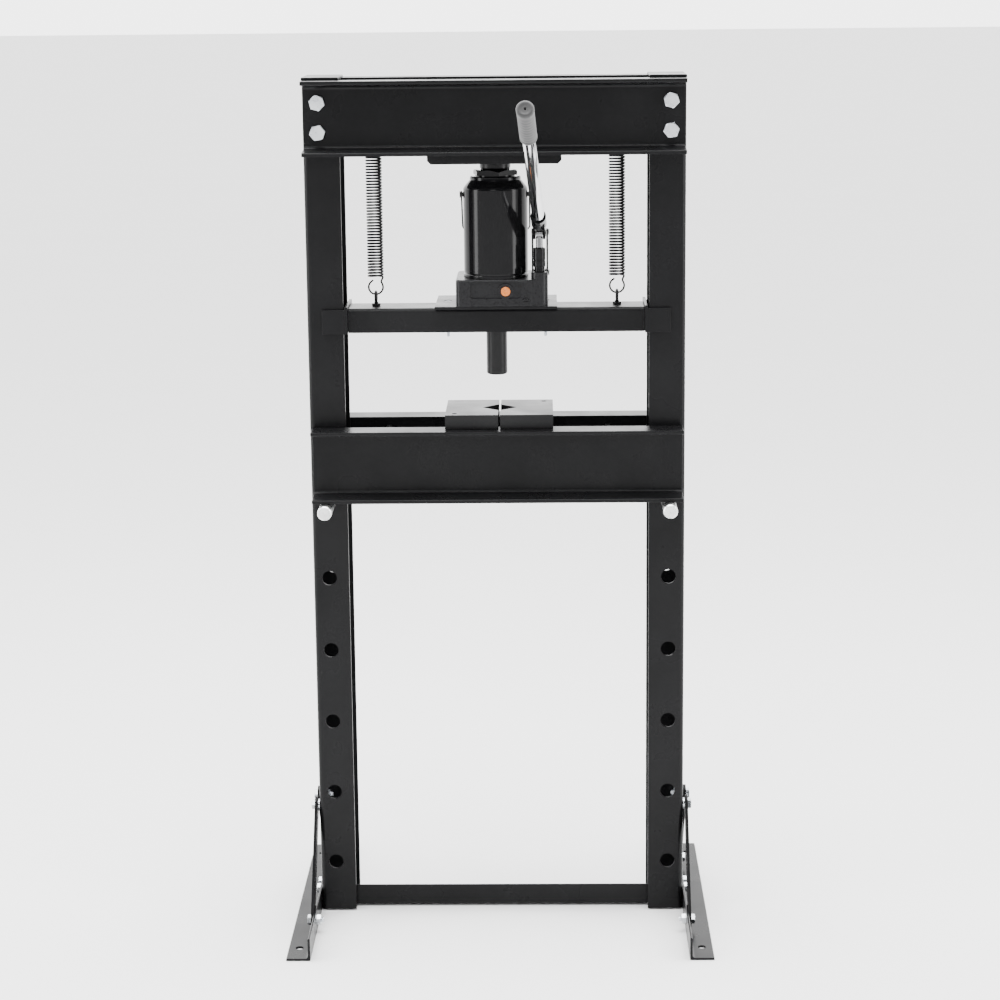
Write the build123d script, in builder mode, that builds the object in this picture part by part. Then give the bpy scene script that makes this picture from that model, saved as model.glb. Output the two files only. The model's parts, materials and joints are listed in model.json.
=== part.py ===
"""Twenty-ton hydraulic shop press: bolted H-frame, movable bed, bottle jack on a sprung crossbar.

Millimetres. +Z is up, -Y is the operator's side, and the origin lies on the floor under the press axis.
"""

import math
import os

from build123d import *

os.makedirs("parts", exist_ok=True)

SIDES = (("left", -1), ("right", 1))
ENDS = (("front", -1), ("rear", 1))

# Frame
frame_width = 654
frame_height = 1492
post_depth = 96
post_flange = 63
post_wall = 5
post_corner = 9
post_floor_gap = 2
cap_thickness = 5
cap_overhang = 6
cap_edge = 0.8

# Rolled channels of the top beams and of the bed
channel_height = 126
channel_flange = 49
channel_web = 5.5
channel_tip = 6.5
channel_root = 10
channel_root_radius = 7
channel_toe_radius = 3
top_beam_inset = 2
top_beam_length = frame_width - 2 * top_beam_inset
bed_inset = 5
bed_length = frame_width - 2 * bed_inset

# Bed, pins and arbor plates
hole_inset = 28
hole_lowest = 93.5
hole_pitch = 132
hole_top_margin = 700
hole_count = 1 + int((frame_height - hole_top_margin - hole_lowest) // hole_pitch)
pin_radius = 12.5
pin_clearance = 0.5
pin_reach = 18
pin_chamfer = 2
seat_gap = 0.3
bed_clearance = 1
spacer_thickness = 8
spacer_margin = 14
spacer_inset = 70
arbor_length = 92
arbor_depth = 150
arbor_thickness = 25
arbor_gap = 3.4
arbor_offset = 3.8
arbor_notch = 28
arbor_hole_radius = 4.2
arbor_hole_edge = 16

# Jack, its plates and the crossbar that carries it
top_plate_length = 228
top_plate_depth = 150
top_plate_thickness = 16
top_plate_bevel = 6
jack_height = 245.5
jack_plate_length = 211
jack_plate_front = 58
jack_plate_depth = 150
jack_plate_thickness = 5
crossbar_end_gap = 8
crossbar_length = frame_width - 2 * (post_flange + crossbar_end_gap)
crossbar_height = 42
crossbar_depth = 79
crossbar_wall = 5
crossbar_corner = 7
guide_wall = 5
guide_clearance = 1.2
guide_tip_gap = 2.3
guide_ear = 39
guide_lip = 5
press_pin_radius = 18
press_pin_reach = 79
press_pin_nose = 3
plate_screw_radius = 3
plate_screw_spacing = 171
plate_screw_rear = 23
plate_screw_reach = 16.5
screw_sink_radius = 6.5
screw_sink_depth = 3.5
screw_head_radius = 5.5
screw_head_height = 2.8
screw_socket_radius = 2.9

# Jack body
base_left = 69
base_right = 68
base_front = 58
base_rear = 78
base_height = 46
base_ledge = 11
base_corner = 11
base_chamfer = 2
pocket_half_width = 44
pocket_rim = 5
pocket_corner = 6
tank_radius = 56
tank_wall = 4
collar_play = 0.3
cylinder_play = 0.1
tank_rise = 202
shoulder_rise = 213.5
shoulder_radius = 44
collar_rise = 220.5
hexagon_across = 70.5
hexagon_foot = 222.5
hexagon_rise = 231.5
hexagon_turn = 10
packing_collar_radius = 34.25
cylinder_radius = 30
ram_radius = 22
ram_foot = 70
bore_clearance = 0.05
saddle_radius = 26.4
saddle_thickness = 13
saddle_chamfer = 1
plug_x = 17
plug_rise = 26
plug_radius = 8
plug_clearance = 0.1
plug_depth = 12
plug_length = 11
plug_head = 3
plug_round = 2.5
plug_rim = 5
plug_recess = 3
valve_x = 52
valve_rise = 9
valve_radius = 5
valve_head = 5
valve_slot = 1.6

# Pump, lever and handle
pump_x = 75.5
pump_front = 43
boss_radius = 14.5
boss_rise = 58
boss_web_width = 26
pump_radius = 10.4
pump_neck_radius = 9.2
pump_neck_height = 9
pump_rise = 100
pump_chamfer = 1
piston_radius = 5.8
piston_clearance = 0.05
piston_eye_radius = 7
piston_eye_inset = 0.8
piston_eye_root = 2
piston_depth = 30
piston_foot_play = 13
lever_pin_rise = 124
lever_arm = 26
lever_heel_radius = 8.4
lever_pin_radius = 3
lever_pin_lip = 2
lever_pin_head = 1.5
lever_slot_travel = 4.4
lever_slot_height = 8.2
lever_slot_shift = 1.8
lever_yaw = 2
link_foot_rise = 54
link_thickness = 3
link_width = 12
link_gap = 11.2
link_play = 0.4
link_lug_width = 16
cheek_inside = 6.3
cheek_outside = 10.3
cheek_radius = 10
pin_proud = 0.5
socket_pitch = 22.5
socket_height = 14.8
socket_start = 9
socket_end = 52
socket_radius = 13.2
handle_radius = 10.5
handle_clearance = 0.15
handle_length = 590
handle_foot_play = 0.5
handle_wall = 1.8
grip_length = 132
grip_radius = 13.8
grip_cap = 5
grip_hole_radius = 1.8
grip_dome = 4
socket_floor = 2

# Springs, eye bolts and bail
spring_x = 210
spring_radius = 14.4
spring_wire = 3.2
spring_hook_drop = 15.5
spring_rod_radius = 5
spring_rod_rise = 27
eye_radius = 8.5
eye_wire = 5
eye_shank_radius = 4
eye_top = 27
hook_play = 0.3
bail_pivot_rise = 188
bail_half_width = 58.8
bail_wire = 2.8
bail_drop = 70
bail_reach = 59
bail_corner = 14
bail_eye_radius = 6.4
bail_eye_wall = 2.4
bail_stud_radius = 4
bail_stud_lip = 2
bail_stud_play = 0.15
bail_play = 0.3

# Feet, braces and cross member
foot_length = 550
foot_flange = 42
foot_leg = 40
foot_wall = 4
foot_root_radius = 5
foot_toe_radius = 2
floor_hole_x = 350
floor_hole_y = 228
floor_hole_radius = 7
post_bolt_spacing = 32
post_bolt_rise = 30
brace_width = 30
brace_wall = 5
brace_foot_y = 150
brace_foot_rise = 24
brace_top_y = 28
brace_top_rise = 195
brace_spacer_radius = 10
cross_leg = 37
cross_wall = 4
cross_front = 28.5
cross_rise = 4
cross_plate_depth = 60
cross_plate_wall = 5
cross_heel_radius = 3

# Bolts: shank radius, hexagon across flats, head height, nut height
beam_bolt = (8, 24, 10, 13)
foot_bolt = (5, 16, 6.4, 8)
eye_nut = (4, 13, 0, 4.5)
screw_nut = (3, 10, 0, 5)
bolt_clearance = 0.5
thread_clearance = 0.1
beam_bolt_spacing = 50.5
beam_bolt_inset = 26.5
low_bolt_turn = 20
high_bolt_turn = 45

# Places that follow from the sizes above
post_x = frame_width / 2
post_y = post_depth / 2
hole_x = post_x - hole_inset
hole_radius = pin_radius + pin_clearance
hole_heights = [hole_lowest + step * hole_pitch for step in range(hole_count)]
pin_z = hole_heights[-1]
beam_bottom = frame_height - channel_height
beam_bolt_x = post_x - beam_bolt_inset
beam_bolt_z = beam_bottom + channel_height / 2
bed_y = post_y + bed_clearance
bed_bottom = pin_z + pin_radius + seat_gap
bed_top = bed_bottom + channel_height
jack_top = beam_bottom - top_plate_thickness - seat_gap
jack_z = jack_top - jack_height
crossbar_top = jack_z - jack_plate_thickness
crossbar_bottom = crossbar_top - crossbar_height
lever_z = jack_z + lever_pin_rise
rod_z = beam_bottom + spring_rod_rise

# The lever works in an upright plane that is turned a little about the pump axis
yaw = math.radians(lever_yaw)
pitch = math.radians(socket_pitch)
pin_direction = Vector(math.cos(yaw), -math.sin(yaw), 0)
forward = Vector(-math.sin(yaw), -math.cos(yaw), 0)
pump_axis = Vector(pump_x, -pump_front, lever_z)
fulcrum = pump_axis - forward * lever_arm
link_foot = Vector(fulcrum.X, fulcrum.Y, jack_z + link_foot_rise)
lever_plane = Plane(origin=pump_axis, x_dir=forward, z_dir=forward.cross(Vector(0, 0, 1)))
socket_direction = forward * math.cos(pitch) + Vector(0, 0, math.sin(pitch))
socket_origin = pump_axis + Vector(0, 0, socket_height)


def rolled_channel():
    """Section of the rolled channel: back of the web on the local Y axis, flanges towards local +X."""
    with BuildSketch() as section:
        with BuildLine():
            Polyline(
                (0, 0),
                (channel_flange, 0),
                (channel_flange, channel_tip),
                (channel_web, channel_root),
                (channel_web, channel_height - channel_root),
                (channel_flange, channel_height - channel_tip),
                (channel_flange, channel_height),
                (0, channel_height),
                close=True,
            )
        make_face()
        roots = section.vertices().sort_by(Axis.X)[2:4]
        fillet(roots, channel_root_radius)
        toes = [
            corner
            for corner in section.vertices().group_by(Axis.X)[-1]
            if channel_tip / 2 < corner.Y < channel_height - channel_tip / 2
        ]
        fillet(toes, channel_toe_radius)
    return section.sketch


def hexagon(across_flats):
    """Outline of a bolt head or nut, with its flats across the local X axis."""
    with BuildSketch() as outline:
        RegularPolygon(across_flats / 2, 6, major_radius=False, rotation=30)
    return outline.sketch


def bolt(plane, size, grip):
    """Hexagon bolt with the underside of its head on the plane and its shank against the normal."""
    shank_radius, across_flats, head_height, nut_height = size
    with BuildPart() as body:
        with BuildSketch(plane):
            add(hexagon(across_flats))
        extrude(amount=head_height)
        with BuildSketch(plane):
            Circle(shank_radius)
        extrude(amount=-(grip + nut_height + shank_radius))
    return body.part


def nut(plane, size):
    """Hexagon nut seated on the plane, on the side that the normal points to."""
    shank_radius, across_flats, _, nut_height = size
    with BuildPart() as body:
        with BuildSketch(plane):
            add(hexagon(across_flats))
            Circle(shank_radius + thread_clearance, mode=Mode.SUBTRACT)
        extrude(amount=nut_height)
    return body.part


def export_group(name, solids):
    """Writes several separate solids as one node."""
    group = Compound(label=name, children=solids)
    export_step(group, f"parts/{name}.step")


# ---------------------------------------------------------------- frame
for side, sign in SIDES:
    with BuildPart() as post:
        with BuildSketch(Plane.XY.offset(post_floor_gap)):
            with Locations((sign * (post_x - post_flange / 2), 0)):
                Rectangle(post_flange, post_depth)
            with Locations((sign * (post_x - post_wall - post_flange / 2), 0)):
                Rectangle(post_flange, post_depth - 2 * post_wall, mode=Mode.SUBTRACT)
        extrude(amount=frame_height - post_floor_gap)
        upright_edges = post.edges().filter_by(Axis.Z)
        web_edges = [edge for edge in upright_edges if abs(sign * edge.center().X - post_x) < 1]
        root_edges = [edge for edge in upright_edges if abs(sign * edge.center().X - post_x + post_wall) < 1]
        fillet(web_edges, post_corner)
        fillet(root_edges, post_corner - post_wall)
        with BuildSketch(Plane.XZ):
            with Locations(*[(sign * hole_x, height) for height in hole_heights]):
                Circle(hole_radius)
            with Locations((sign * beam_bolt_x, beam_bolt_z)):
                with GridLocations(1, beam_bolt_spacing, 1, 2):
                    Circle(beam_bolt[0] + bolt_clearance)
        extrude(amount=post_depth, both=True, mode=Mode.SUBTRACT)
        with BuildSketch(Plane.YZ):
            with Locations((0, post_bolt_rise)):
                with GridLocations(post_bolt_spacing, 1, 2, 1):
                    Circle(foot_bolt[0] + bolt_clearance)
            with Locations((0, brace_top_rise)):
                with GridLocations(2 * brace_top_y, 1, 2, 1):
                    Circle(foot_bolt[0] + bolt_clearance)
        extrude(amount=frame_width, both=True, mode=Mode.SUBTRACT)
    post.part.label = f"post_{side}"
    export_step(post.part, f"parts/post_{side}.step")

for end, sign in ENDS:
    beam_plane = Plane(
        origin=(-sign * top_beam_length / 2, sign * post_y, beam_bottom),
        x_dir=(0, sign, 0),
        z_dir=(sign, 0, 0),
    )
    with BuildPart() as top_beam:
        with BuildSketch(beam_plane):
            add(rolled_channel())
        extrude(amount=top_beam_length)
        with BuildSketch(Plane.XZ):
            with Locations((0, beam_bolt_z)):
                with GridLocations(2 * beam_bolt_x, beam_bolt_spacing, 2, 2):
                    Circle(beam_bolt[0] + bolt_clearance)
        extrude(amount=frame_width, both=True, mode=Mode.SUBTRACT)
    top_beam.part.label = f"top_beam_{end}"
    export_step(top_beam.part, f"parts/top_beam_{end}.step")

for side, sign in SIDES:
    with BuildPart() as cap:
        with BuildSketch(Plane.XY.offset(frame_height)):
            with Locations((sign * (post_x - post_flange / 2), 0)):
                Rectangle(post_flange, post_depth + 2 * cap_overhang)
        extrude(amount=cap_thickness)
        chamfer(cap.faces().sort_by(Axis.Z)[-1].edges(), cap_edge)
    cap.part.label = f"cap_{side}"
    export_step(cap.part, f"parts/cap_{side}.step")

beam_bolts = []
beam_nuts = []
for side, side_sign in SIDES:
    for end, end_sign in ENDS:
        for up, turn in ((-1, low_bolt_turn), (1, high_bolt_turn)):
            bolt_x = side_sign * beam_bolt_x
            bolt_z = beam_bolt_z + up * beam_bolt_spacing / 2
            turned = (math.cos(math.radians(turn)), 0, math.sin(math.radians(turn)))
            head_y = end_sign * (post_y + channel_web)
            nut_y = end_sign * (post_y - post_wall)
            head_plane = Plane(origin=(bolt_x, head_y, bolt_z), x_dir=turned, z_dir=(0, end_sign, 0))
            nut_plane = Plane(origin=(bolt_x, nut_y, bolt_z), x_dir=(0, 0, 1), z_dir=(0, -end_sign, 0))
            beam_bolts.append(bolt(head_plane, beam_bolt, channel_web + post_wall))
            beam_nuts.append(nut(nut_plane, beam_bolt))
export_group("beam_bolts", beam_bolts)
export_group("beam_nuts", beam_nuts)

with BuildPart() as top_plate:
    with BuildSketch(Plane.XY.offset(beam_bottom)):
        Rectangle(top_plate_length, top_plate_depth)
    extrude(amount=-top_plate_thickness)
    low_ends = top_plate.faces().sort_by(Axis.Z)[0].edges().filter_by(Axis.Y)
    chamfer(low_ends, top_plate_bevel)
top_plate.part.label = "top_plate"
export_step(top_plate.part, "parts/top_plate.step")

spring_rods = []
for side, sign in SIDES:
    with BuildPart() as spring_rod:
        with BuildSketch(Plane(origin=(sign * spring_x, -post_y, rod_z), x_dir=(1, 0, 0), z_dir=(0, 1, 0))):
            Circle(spring_rod_radius)
        extrude(amount=post_depth)
    spring_rods.append(spring_rod.part)
export_group("spring_rods", spring_rods)

# ---------------------------------------------------------------- feet, braces and cross member
for side, sign in SIDES:
    foot_plane = Plane(
        origin=(sign * post_x, sign * foot_length / 2, 0), x_dir=(sign, 0, 0), z_dir=(0, -sign, 0)
    )
    with BuildPart() as foot:
        with BuildSketch(foot_plane):
            with BuildLine():
                FilletPolyline(
                    (0, 0),
                    (foot_flange, 0),
                    (foot_flange, foot_wall),
                    (foot_wall, foot_wall),
                    (foot_wall, foot_leg),
                    (0, foot_leg),
                    radius=(0, 0, foot_toe_radius, foot_root_radius, foot_toe_radius, 0),
                    close=True,
                )
            make_face()
        extrude(amount=foot_length)
        with BuildSketch(Plane.XY):
            with Locations((sign * floor_hole_x, 0)):
                with GridLocations(1, 2 * floor_hole_y, 1, 2):
                    Circle(floor_hole_radius)
        extrude(amount=foot_wall, mode=Mode.SUBTRACT)
        with BuildSketch(Plane.YZ):
            with Locations((0, post_bolt_rise)):
                with GridLocations(post_bolt_spacing, 1, 2, 1):
                    Circle(foot_bolt[0] + bolt_clearance)
            with Locations((0, brace_foot_rise)):
                with GridLocations(2 * brace_foot_y, 1, 2, 1):
                    Circle(foot_bolt[0] + bolt_clearance)
        extrude(amount=frame_width, both=True, mode=Mode.SUBTRACT)
    foot.part.label = f"foot_{side}"
    export_step(foot.part, f"parts/foot_{side}.step")

brace_run = brace_foot_y - brace_top_y
brace_fall = brace_top_rise - brace_foot_rise
brace_span = math.hypot(brace_run, brace_fall)
brace_x = post_x + foot_wall
for side, side_sign in SIDES:
    for end, end_sign in ENDS:
        middle = (0, end_sign * (brace_foot_y + brace_top_y) / 2, (brace_top_rise + brace_foot_rise) / 2)
        brace_plane = Plane(
            origin=(side_sign * brace_x, middle[1], middle[2]),
            x_dir=(0, end_sign * brace_run, -brace_fall),
            z_dir=(side_sign, 0, 0),
        )
        with BuildPart() as brace:
            with BuildSketch(brace_plane):
                SlotCenterToCenter(brace_span, brace_width)
                with GridLocations(brace_span, 1, 2, 1):
                    Circle(foot_bolt[0] + bolt_clearance, mode=Mode.SUBTRACT)
            extrude(amount=brace_wall)
        brace.part.label = f"brace_{side}_{end}"
        export_step(brace.part, f"parts/brace_{side}_{end}.step")

foot_bolts = []
foot_nuts = []
brace_bolts = []
brace_nuts = []
brace_spacers = []
for side, side_sign in SIDES:
    for end, end_sign in ENDS:
        outward = (side_sign, 0, 0)
        inward = (-side_sign, 0, 0)
        bolt_y = end_sign * post_bolt_spacing / 2
        nut_x = post_x - post_wall - cross_plate_wall
        head_place = (side_sign * brace_x, bolt_y, post_bolt_rise)
        nut_place = (side_sign * nut_x, bolt_y, post_bolt_rise)
        head_plane = Plane(origin=head_place, x_dir=(0, 1, 0), z_dir=outward)
        nut_plane = Plane(origin=nut_place, x_dir=(0, 1, 0), z_dir=inward)
        foot_bolts.append(bolt(head_plane, foot_bolt, brace_x - nut_x))
        foot_nuts.append(nut(nut_plane, foot_bolt))

        low_x = post_x
        high_x = post_x - post_wall
        for bolt_y, bolt_z, nut_x in (
            (end_sign * brace_foot_y, brace_foot_rise, low_x),
            (end_sign * brace_top_y, brace_top_rise, high_x),
        ):
            head_x = brace_x + brace_wall
            head_plane = Plane(origin=(side_sign * head_x, bolt_y, bolt_z), x_dir=(0, 1, 1), z_dir=outward)
            nut_plane = Plane(origin=(side_sign * nut_x, bolt_y, bolt_z), x_dir=(0, 1, 0), z_dir=inward)
            brace_bolts.append(bolt(head_plane, foot_bolt, head_x - nut_x))
            brace_nuts.append(nut(nut_plane, foot_bolt))

        spacer_place = (side_sign * post_x, end_sign * brace_top_y, brace_top_rise)
        with BuildPart() as brace_spacer:
            with BuildSketch(Plane(origin=spacer_place, x_dir=(0, 1, 0), z_dir=outward)):
                Circle(brace_spacer_radius)
                Circle(foot_bolt[0] + bolt_clearance, mode=Mode.SUBTRACT)
            extrude(amount=foot_wall)
        brace_spacers.append(brace_spacer.part)
export_group("foot_bolts", foot_bolts)
export_group("foot_nuts", foot_nuts)
export_group("brace_bolts", brace_bolts)
export_group("brace_nuts", brace_nuts)
export_group("brace_spacers", brace_spacers)

cross_half = post_x - post_wall - cross_plate_wall
with BuildPart() as cross_member:
    with BuildSketch(Plane(origin=(-cross_half, -cross_front, cross_rise), x_dir=(0, 1, 0), z_dir=(1, 0, 0))):
        with BuildLine():
            FilletPolyline(
                (0, 0),
                (cross_leg, 0),
                (cross_leg, cross_wall),
                (cross_wall, cross_wall),
                (cross_wall, cross_leg),
                (0, cross_leg),
                radius=(cross_heel_radius, 0, foot_toe_radius, foot_root_radius, foot_toe_radius, 0),
                close=True,
            )
        make_face()
    extrude(amount=2 * cross_half)
    for side, sign in SIDES:
        end_plane = Plane(origin=(sign * cross_half, 0, 0), x_dir=(0, sign, 0), z_dir=(sign, 0, 0))
        with BuildSketch(end_plane):
            with Locations((0, cross_rise + cross_leg / 2)):
                Rectangle(cross_plate_depth, cross_leg)
        extrude(amount=cross_plate_wall)
    with BuildSketch(Plane.YZ):
        with Locations((0, post_bolt_rise)):
            with GridLocations(post_bolt_spacing, 1, 2, 1):
                Circle(foot_bolt[0] + bolt_clearance)
    extrude(amount=frame_width, both=True, mode=Mode.SUBTRACT)
cross_member.part.label = "cross_member"
export_step(cross_member.part, "parts/cross_member.step")

# ---------------------------------------------------------------- bed
for end, sign in ENDS:
    bed_plane = Plane(
        origin=(-sign * bed_length / 2, sign * bed_y, bed_bottom), x_dir=(0, sign, 0), z_dir=(sign, 0, 0)
    )
    with BuildPart() as bed_beam:
        with BuildSketch(bed_plane):
            add(rolled_channel())
        extrude(amount=bed_length)
    bed_beam.part.label = f"bed_beam_{end}"
    export_step(bed_beam.part, f"parts/bed_beam_{end}.step")

spacer_x = post_x - post_flange - spacer_inset
for side, sign in SIDES:
    with BuildPart() as bed_spacer:
        with BuildSketch(Plane.XY.offset(bed_bottom + spacer_margin)):
            with Locations((sign * spacer_x, 0)):
                Rectangle(spacer_thickness, 2 * bed_y)
        extrude(amount=channel_height - 2 * spacer_margin)
    bed_spacer.part.label = f"bed_spacer_{side}"
    export_step(bed_spacer.part, f"parts/bed_spacer_{side}.step")

pin_front = bed_y + channel_flange + pin_reach
for side, sign in SIDES:
    with BuildPart() as bed_pin:
        with BuildSketch(Plane(origin=(sign * hole_x, -pin_front, pin_z), x_dir=(1, 0, 0), z_dir=(0, 1, 0))):
            Circle(pin_radius)
        extrude(amount=2 * pin_front)
        chamfer(bed_pin.edges().filter_by(GeomType.CIRCLE), pin_chamfer)
    bed_pin.part.label = f"bed_pin_{side}"
    export_step(bed_pin.part, f"parts/bed_pin_{side}.step")

for side, sign in SIDES:
    inner_x = arbor_offset + sign * arbor_gap / 2
    middle_x = inner_x + sign * arbor_length / 2
    outer_x = inner_x + sign * arbor_length
    with BuildPart() as arbor_plate:
        with BuildSketch(Plane.XY.offset(bed_top + seat_gap)):
            with Locations((middle_x, 0)):
                Rectangle(arbor_length, arbor_depth)
            with Locations((inner_x, 0)):
                Rectangle(
                    arbor_notch * math.sqrt(2), arbor_notch * math.sqrt(2), rotation=45, mode=Mode.SUBTRACT
                )
            with Locations((outer_x - sign * arbor_hole_edge, sign * (arbor_depth / 2 - arbor_hole_edge))):
                Circle(arbor_hole_radius, mode=Mode.SUBTRACT)
        extrude(amount=arbor_thickness)
    arbor_plate.part.label = f"arbor_plate_{side}"
    export_step(arbor_plate.part, f"parts/arbor_plate_{side}.step")

# ---------------------------------------------------------------- crossbar
crossbar_web = crossbar_top - crossbar_wall
with BuildPart() as crossbar:
    with BuildSketch(Plane.YZ.offset(-crossbar_length / 2)):
        with Locations((0, crossbar_top - crossbar_height / 2)):
            Rectangle(crossbar_depth, crossbar_height)
        with Locations((0, crossbar_web - crossbar_height / 2)):
            Rectangle(crossbar_depth - 2 * crossbar_wall, crossbar_height, mode=Mode.SUBTRACT)
    extrude(amount=crossbar_length)
    top_edges = crossbar.faces().sort_by(Axis.Z)[-1].edges().filter_by(Axis.X)
    fillet(top_edges, crossbar_corner)
    with BuildSketch(Plane.XY.offset(crossbar_top)):
        with GridLocations(2 * spring_x, 1, 2, 1):
            Circle(eye_shank_radius + bolt_clearance)
        with Locations((0, plate_screw_rear)):
            with GridLocations(plate_screw_spacing, 1, 2, 1):
                Circle(plate_screw_radius + bolt_clearance)
    extrude(amount=-crossbar_wall, mode=Mode.SUBTRACT)
crossbar.part.label = "crossbar"
export_step(crossbar.part, "parts/crossbar.step")

guide_y = post_y + guide_clearance
guide_web_x = post_x - post_flange - guide_tip_gap
for side, sign in SIDES:
    with BuildPart() as guide:
        with BuildSketch(Plane.XY.offset(crossbar_bottom)):
            with Locations((sign * (guide_web_x - guide_wall / 2), 0)):
                Rectangle(guide_wall, 2 * (guide_y + guide_wall))
        extrude(amount=crossbar_height + guide_lip)
        with BuildSketch(Plane.XY.offset(crossbar_bottom)):
            with Locations((sign * (guide_web_x + guide_ear / 2), 0)):
                with GridLocations(1, 2 * guide_y + guide_wall, 1, 2):
                    Rectangle(guide_ear, guide_wall)
        extrude(amount=crossbar_height)
    guide.part.label = f"guide_{side}"
    export_step(guide.part, f"parts/guide_{side}.step")

plate_middle_y = jack_plate_depth / 2 - jack_plate_front
with BuildPart() as jack_plate:
    with BuildSketch(Plane.XY.offset(crossbar_top)):
        with Locations((0, plate_middle_y)):
            Rectangle(jack_plate_length, jack_plate_depth)
        with Locations((0, plate_screw_rear)):
            with GridLocations(plate_screw_spacing, 1, 2, 1):
                Circle(plate_screw_radius + bolt_clearance, mode=Mode.SUBTRACT)
    extrude(amount=jack_plate_thickness)
    with BuildSketch(Plane.XY.offset(jack_z)):
        with Locations((0, plate_screw_rear)):
            with GridLocations(plate_screw_spacing, 1, 2, 1):
                Circle(screw_sink_radius)
    extrude(amount=-screw_sink_depth, mode=Mode.SUBTRACT)
jack_plate.part.label = "jack_plate"
export_step(jack_plate.part, "parts/jack_plate.step")

fixings = []
for side, sign in SIDES:
    screw_x = sign * plate_screw_spacing / 2
    sink_z = jack_z - screw_sink_depth
    with BuildPart() as plate_screw:
        with BuildSketch(Plane(origin=(screw_x, plate_screw_rear, sink_z))):
            Circle(screw_head_radius)
        extrude(amount=screw_head_height)
        with BuildSketch(Plane(origin=(screw_x, plate_screw_rear, sink_z))):
            Circle(plate_screw_radius)
        extrude(amount=-(sink_z - crossbar_bottom + plate_screw_reach))
        with BuildSketch(Plane(origin=(screw_x, plate_screw_rear, sink_z + screw_head_height))):
            RegularPolygon(screw_socket_radius, 6)
        extrude(amount=-screw_head_height / 2, mode=Mode.SUBTRACT)
    fixings.append(plate_screw.part)
    nut_plane = Plane(origin=(screw_x, plate_screw_rear, crossbar_web), x_dir=(1, 0, 0), z_dir=(0, 0, -1))
    fixings.append(nut(nut_plane, screw_nut))
export_group("jack_plate_screws", fixings)

with BuildPart() as press_pin:
    with BuildSketch(Plane.XY.offset(crossbar_web)):
        Circle(press_pin_radius)
    extrude(amount=-(crossbar_height - crossbar_wall + press_pin_reach))
    nose_edge = press_pin.faces().sort_by(Axis.Z)[0].edges()
    fillet(nose_edge, press_pin_nose)
press_pin.part.label = "press_pin"
export_step(press_pin.part, "parts/press_pin.step")

eye_nuts = []
eye_centre_z = crossbar_top + eye_top - eye_wire / 2 - eye_radius
for side, sign in SIDES:
    with BuildPart() as eye_bolt:
        with Locations(Location((sign * spring_x, 0, eye_centre_z), (0, 90, 0))):
            Torus(eye_radius, eye_wire / 2)
        with BuildSketch(Plane(origin=(sign * spring_x, 0, eye_centre_z - eye_radius))):
            Circle(eye_shank_radius)
        extrude(amount=-(eye_centre_z - eye_radius - crossbar_web + eye_nut[3] + eye_shank_radius))
    eye_bolt.part.label = f"eye_bolt_{side}"
    export_step(eye_bolt.part, f"parts/eye_bolt_{side}.step")
    for height, facing in ((crossbar_top, 1), (crossbar_web, -1)):
        nut_plane = Plane(origin=(sign * spring_x, 0, height), x_dir=(1, 0, 0), z_dir=(0, 0, facing))
        eye_nuts.append(nut(nut_plane, eye_nut))
export_group("eye_nuts", eye_nuts)

hook_radius = spring_radius - spring_wire / 2
low_hook_z = eye_centre_z + eye_radius - eye_wire / 2 - hook_play - spring_wire / 2 + hook_radius
high_hook_z = rod_z + spring_rod_radius + hook_play + spring_wire / 2 - hook_radius
for side, sign in SIDES:
    with BuildPart() as spring:
        with BuildSketch(Plane.XY.offset(low_hook_z + spring_hook_drop)):
            with Locations((sign * spring_x, 0)):
                Circle(spring_radius)
                Circle(spring_radius - spring_wire, mode=Mode.SUBTRACT)
        extrude(amount=high_hook_z - low_hook_z - 2 * spring_hook_drop)
        for hook_z, facing in ((low_hook_z, 1), (high_hook_z, -1)):
            with Locations(Location((sign * spring_x, 0, hook_z), (90, 0, 0))):
                Torus(hook_radius, spring_wire / 2)
            with BuildSketch(Plane.XY.offset(hook_z + facing * spring_hook_drop)):
                with Locations((sign * spring_x, 0)):
                    Circle(spring_radius)
            extrude(amount=-facing * spring_wire / 2)
    spring.part.label = f"spring_{side}"
    export_step(spring.part, f"parts/spring_{side}.step")

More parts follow.
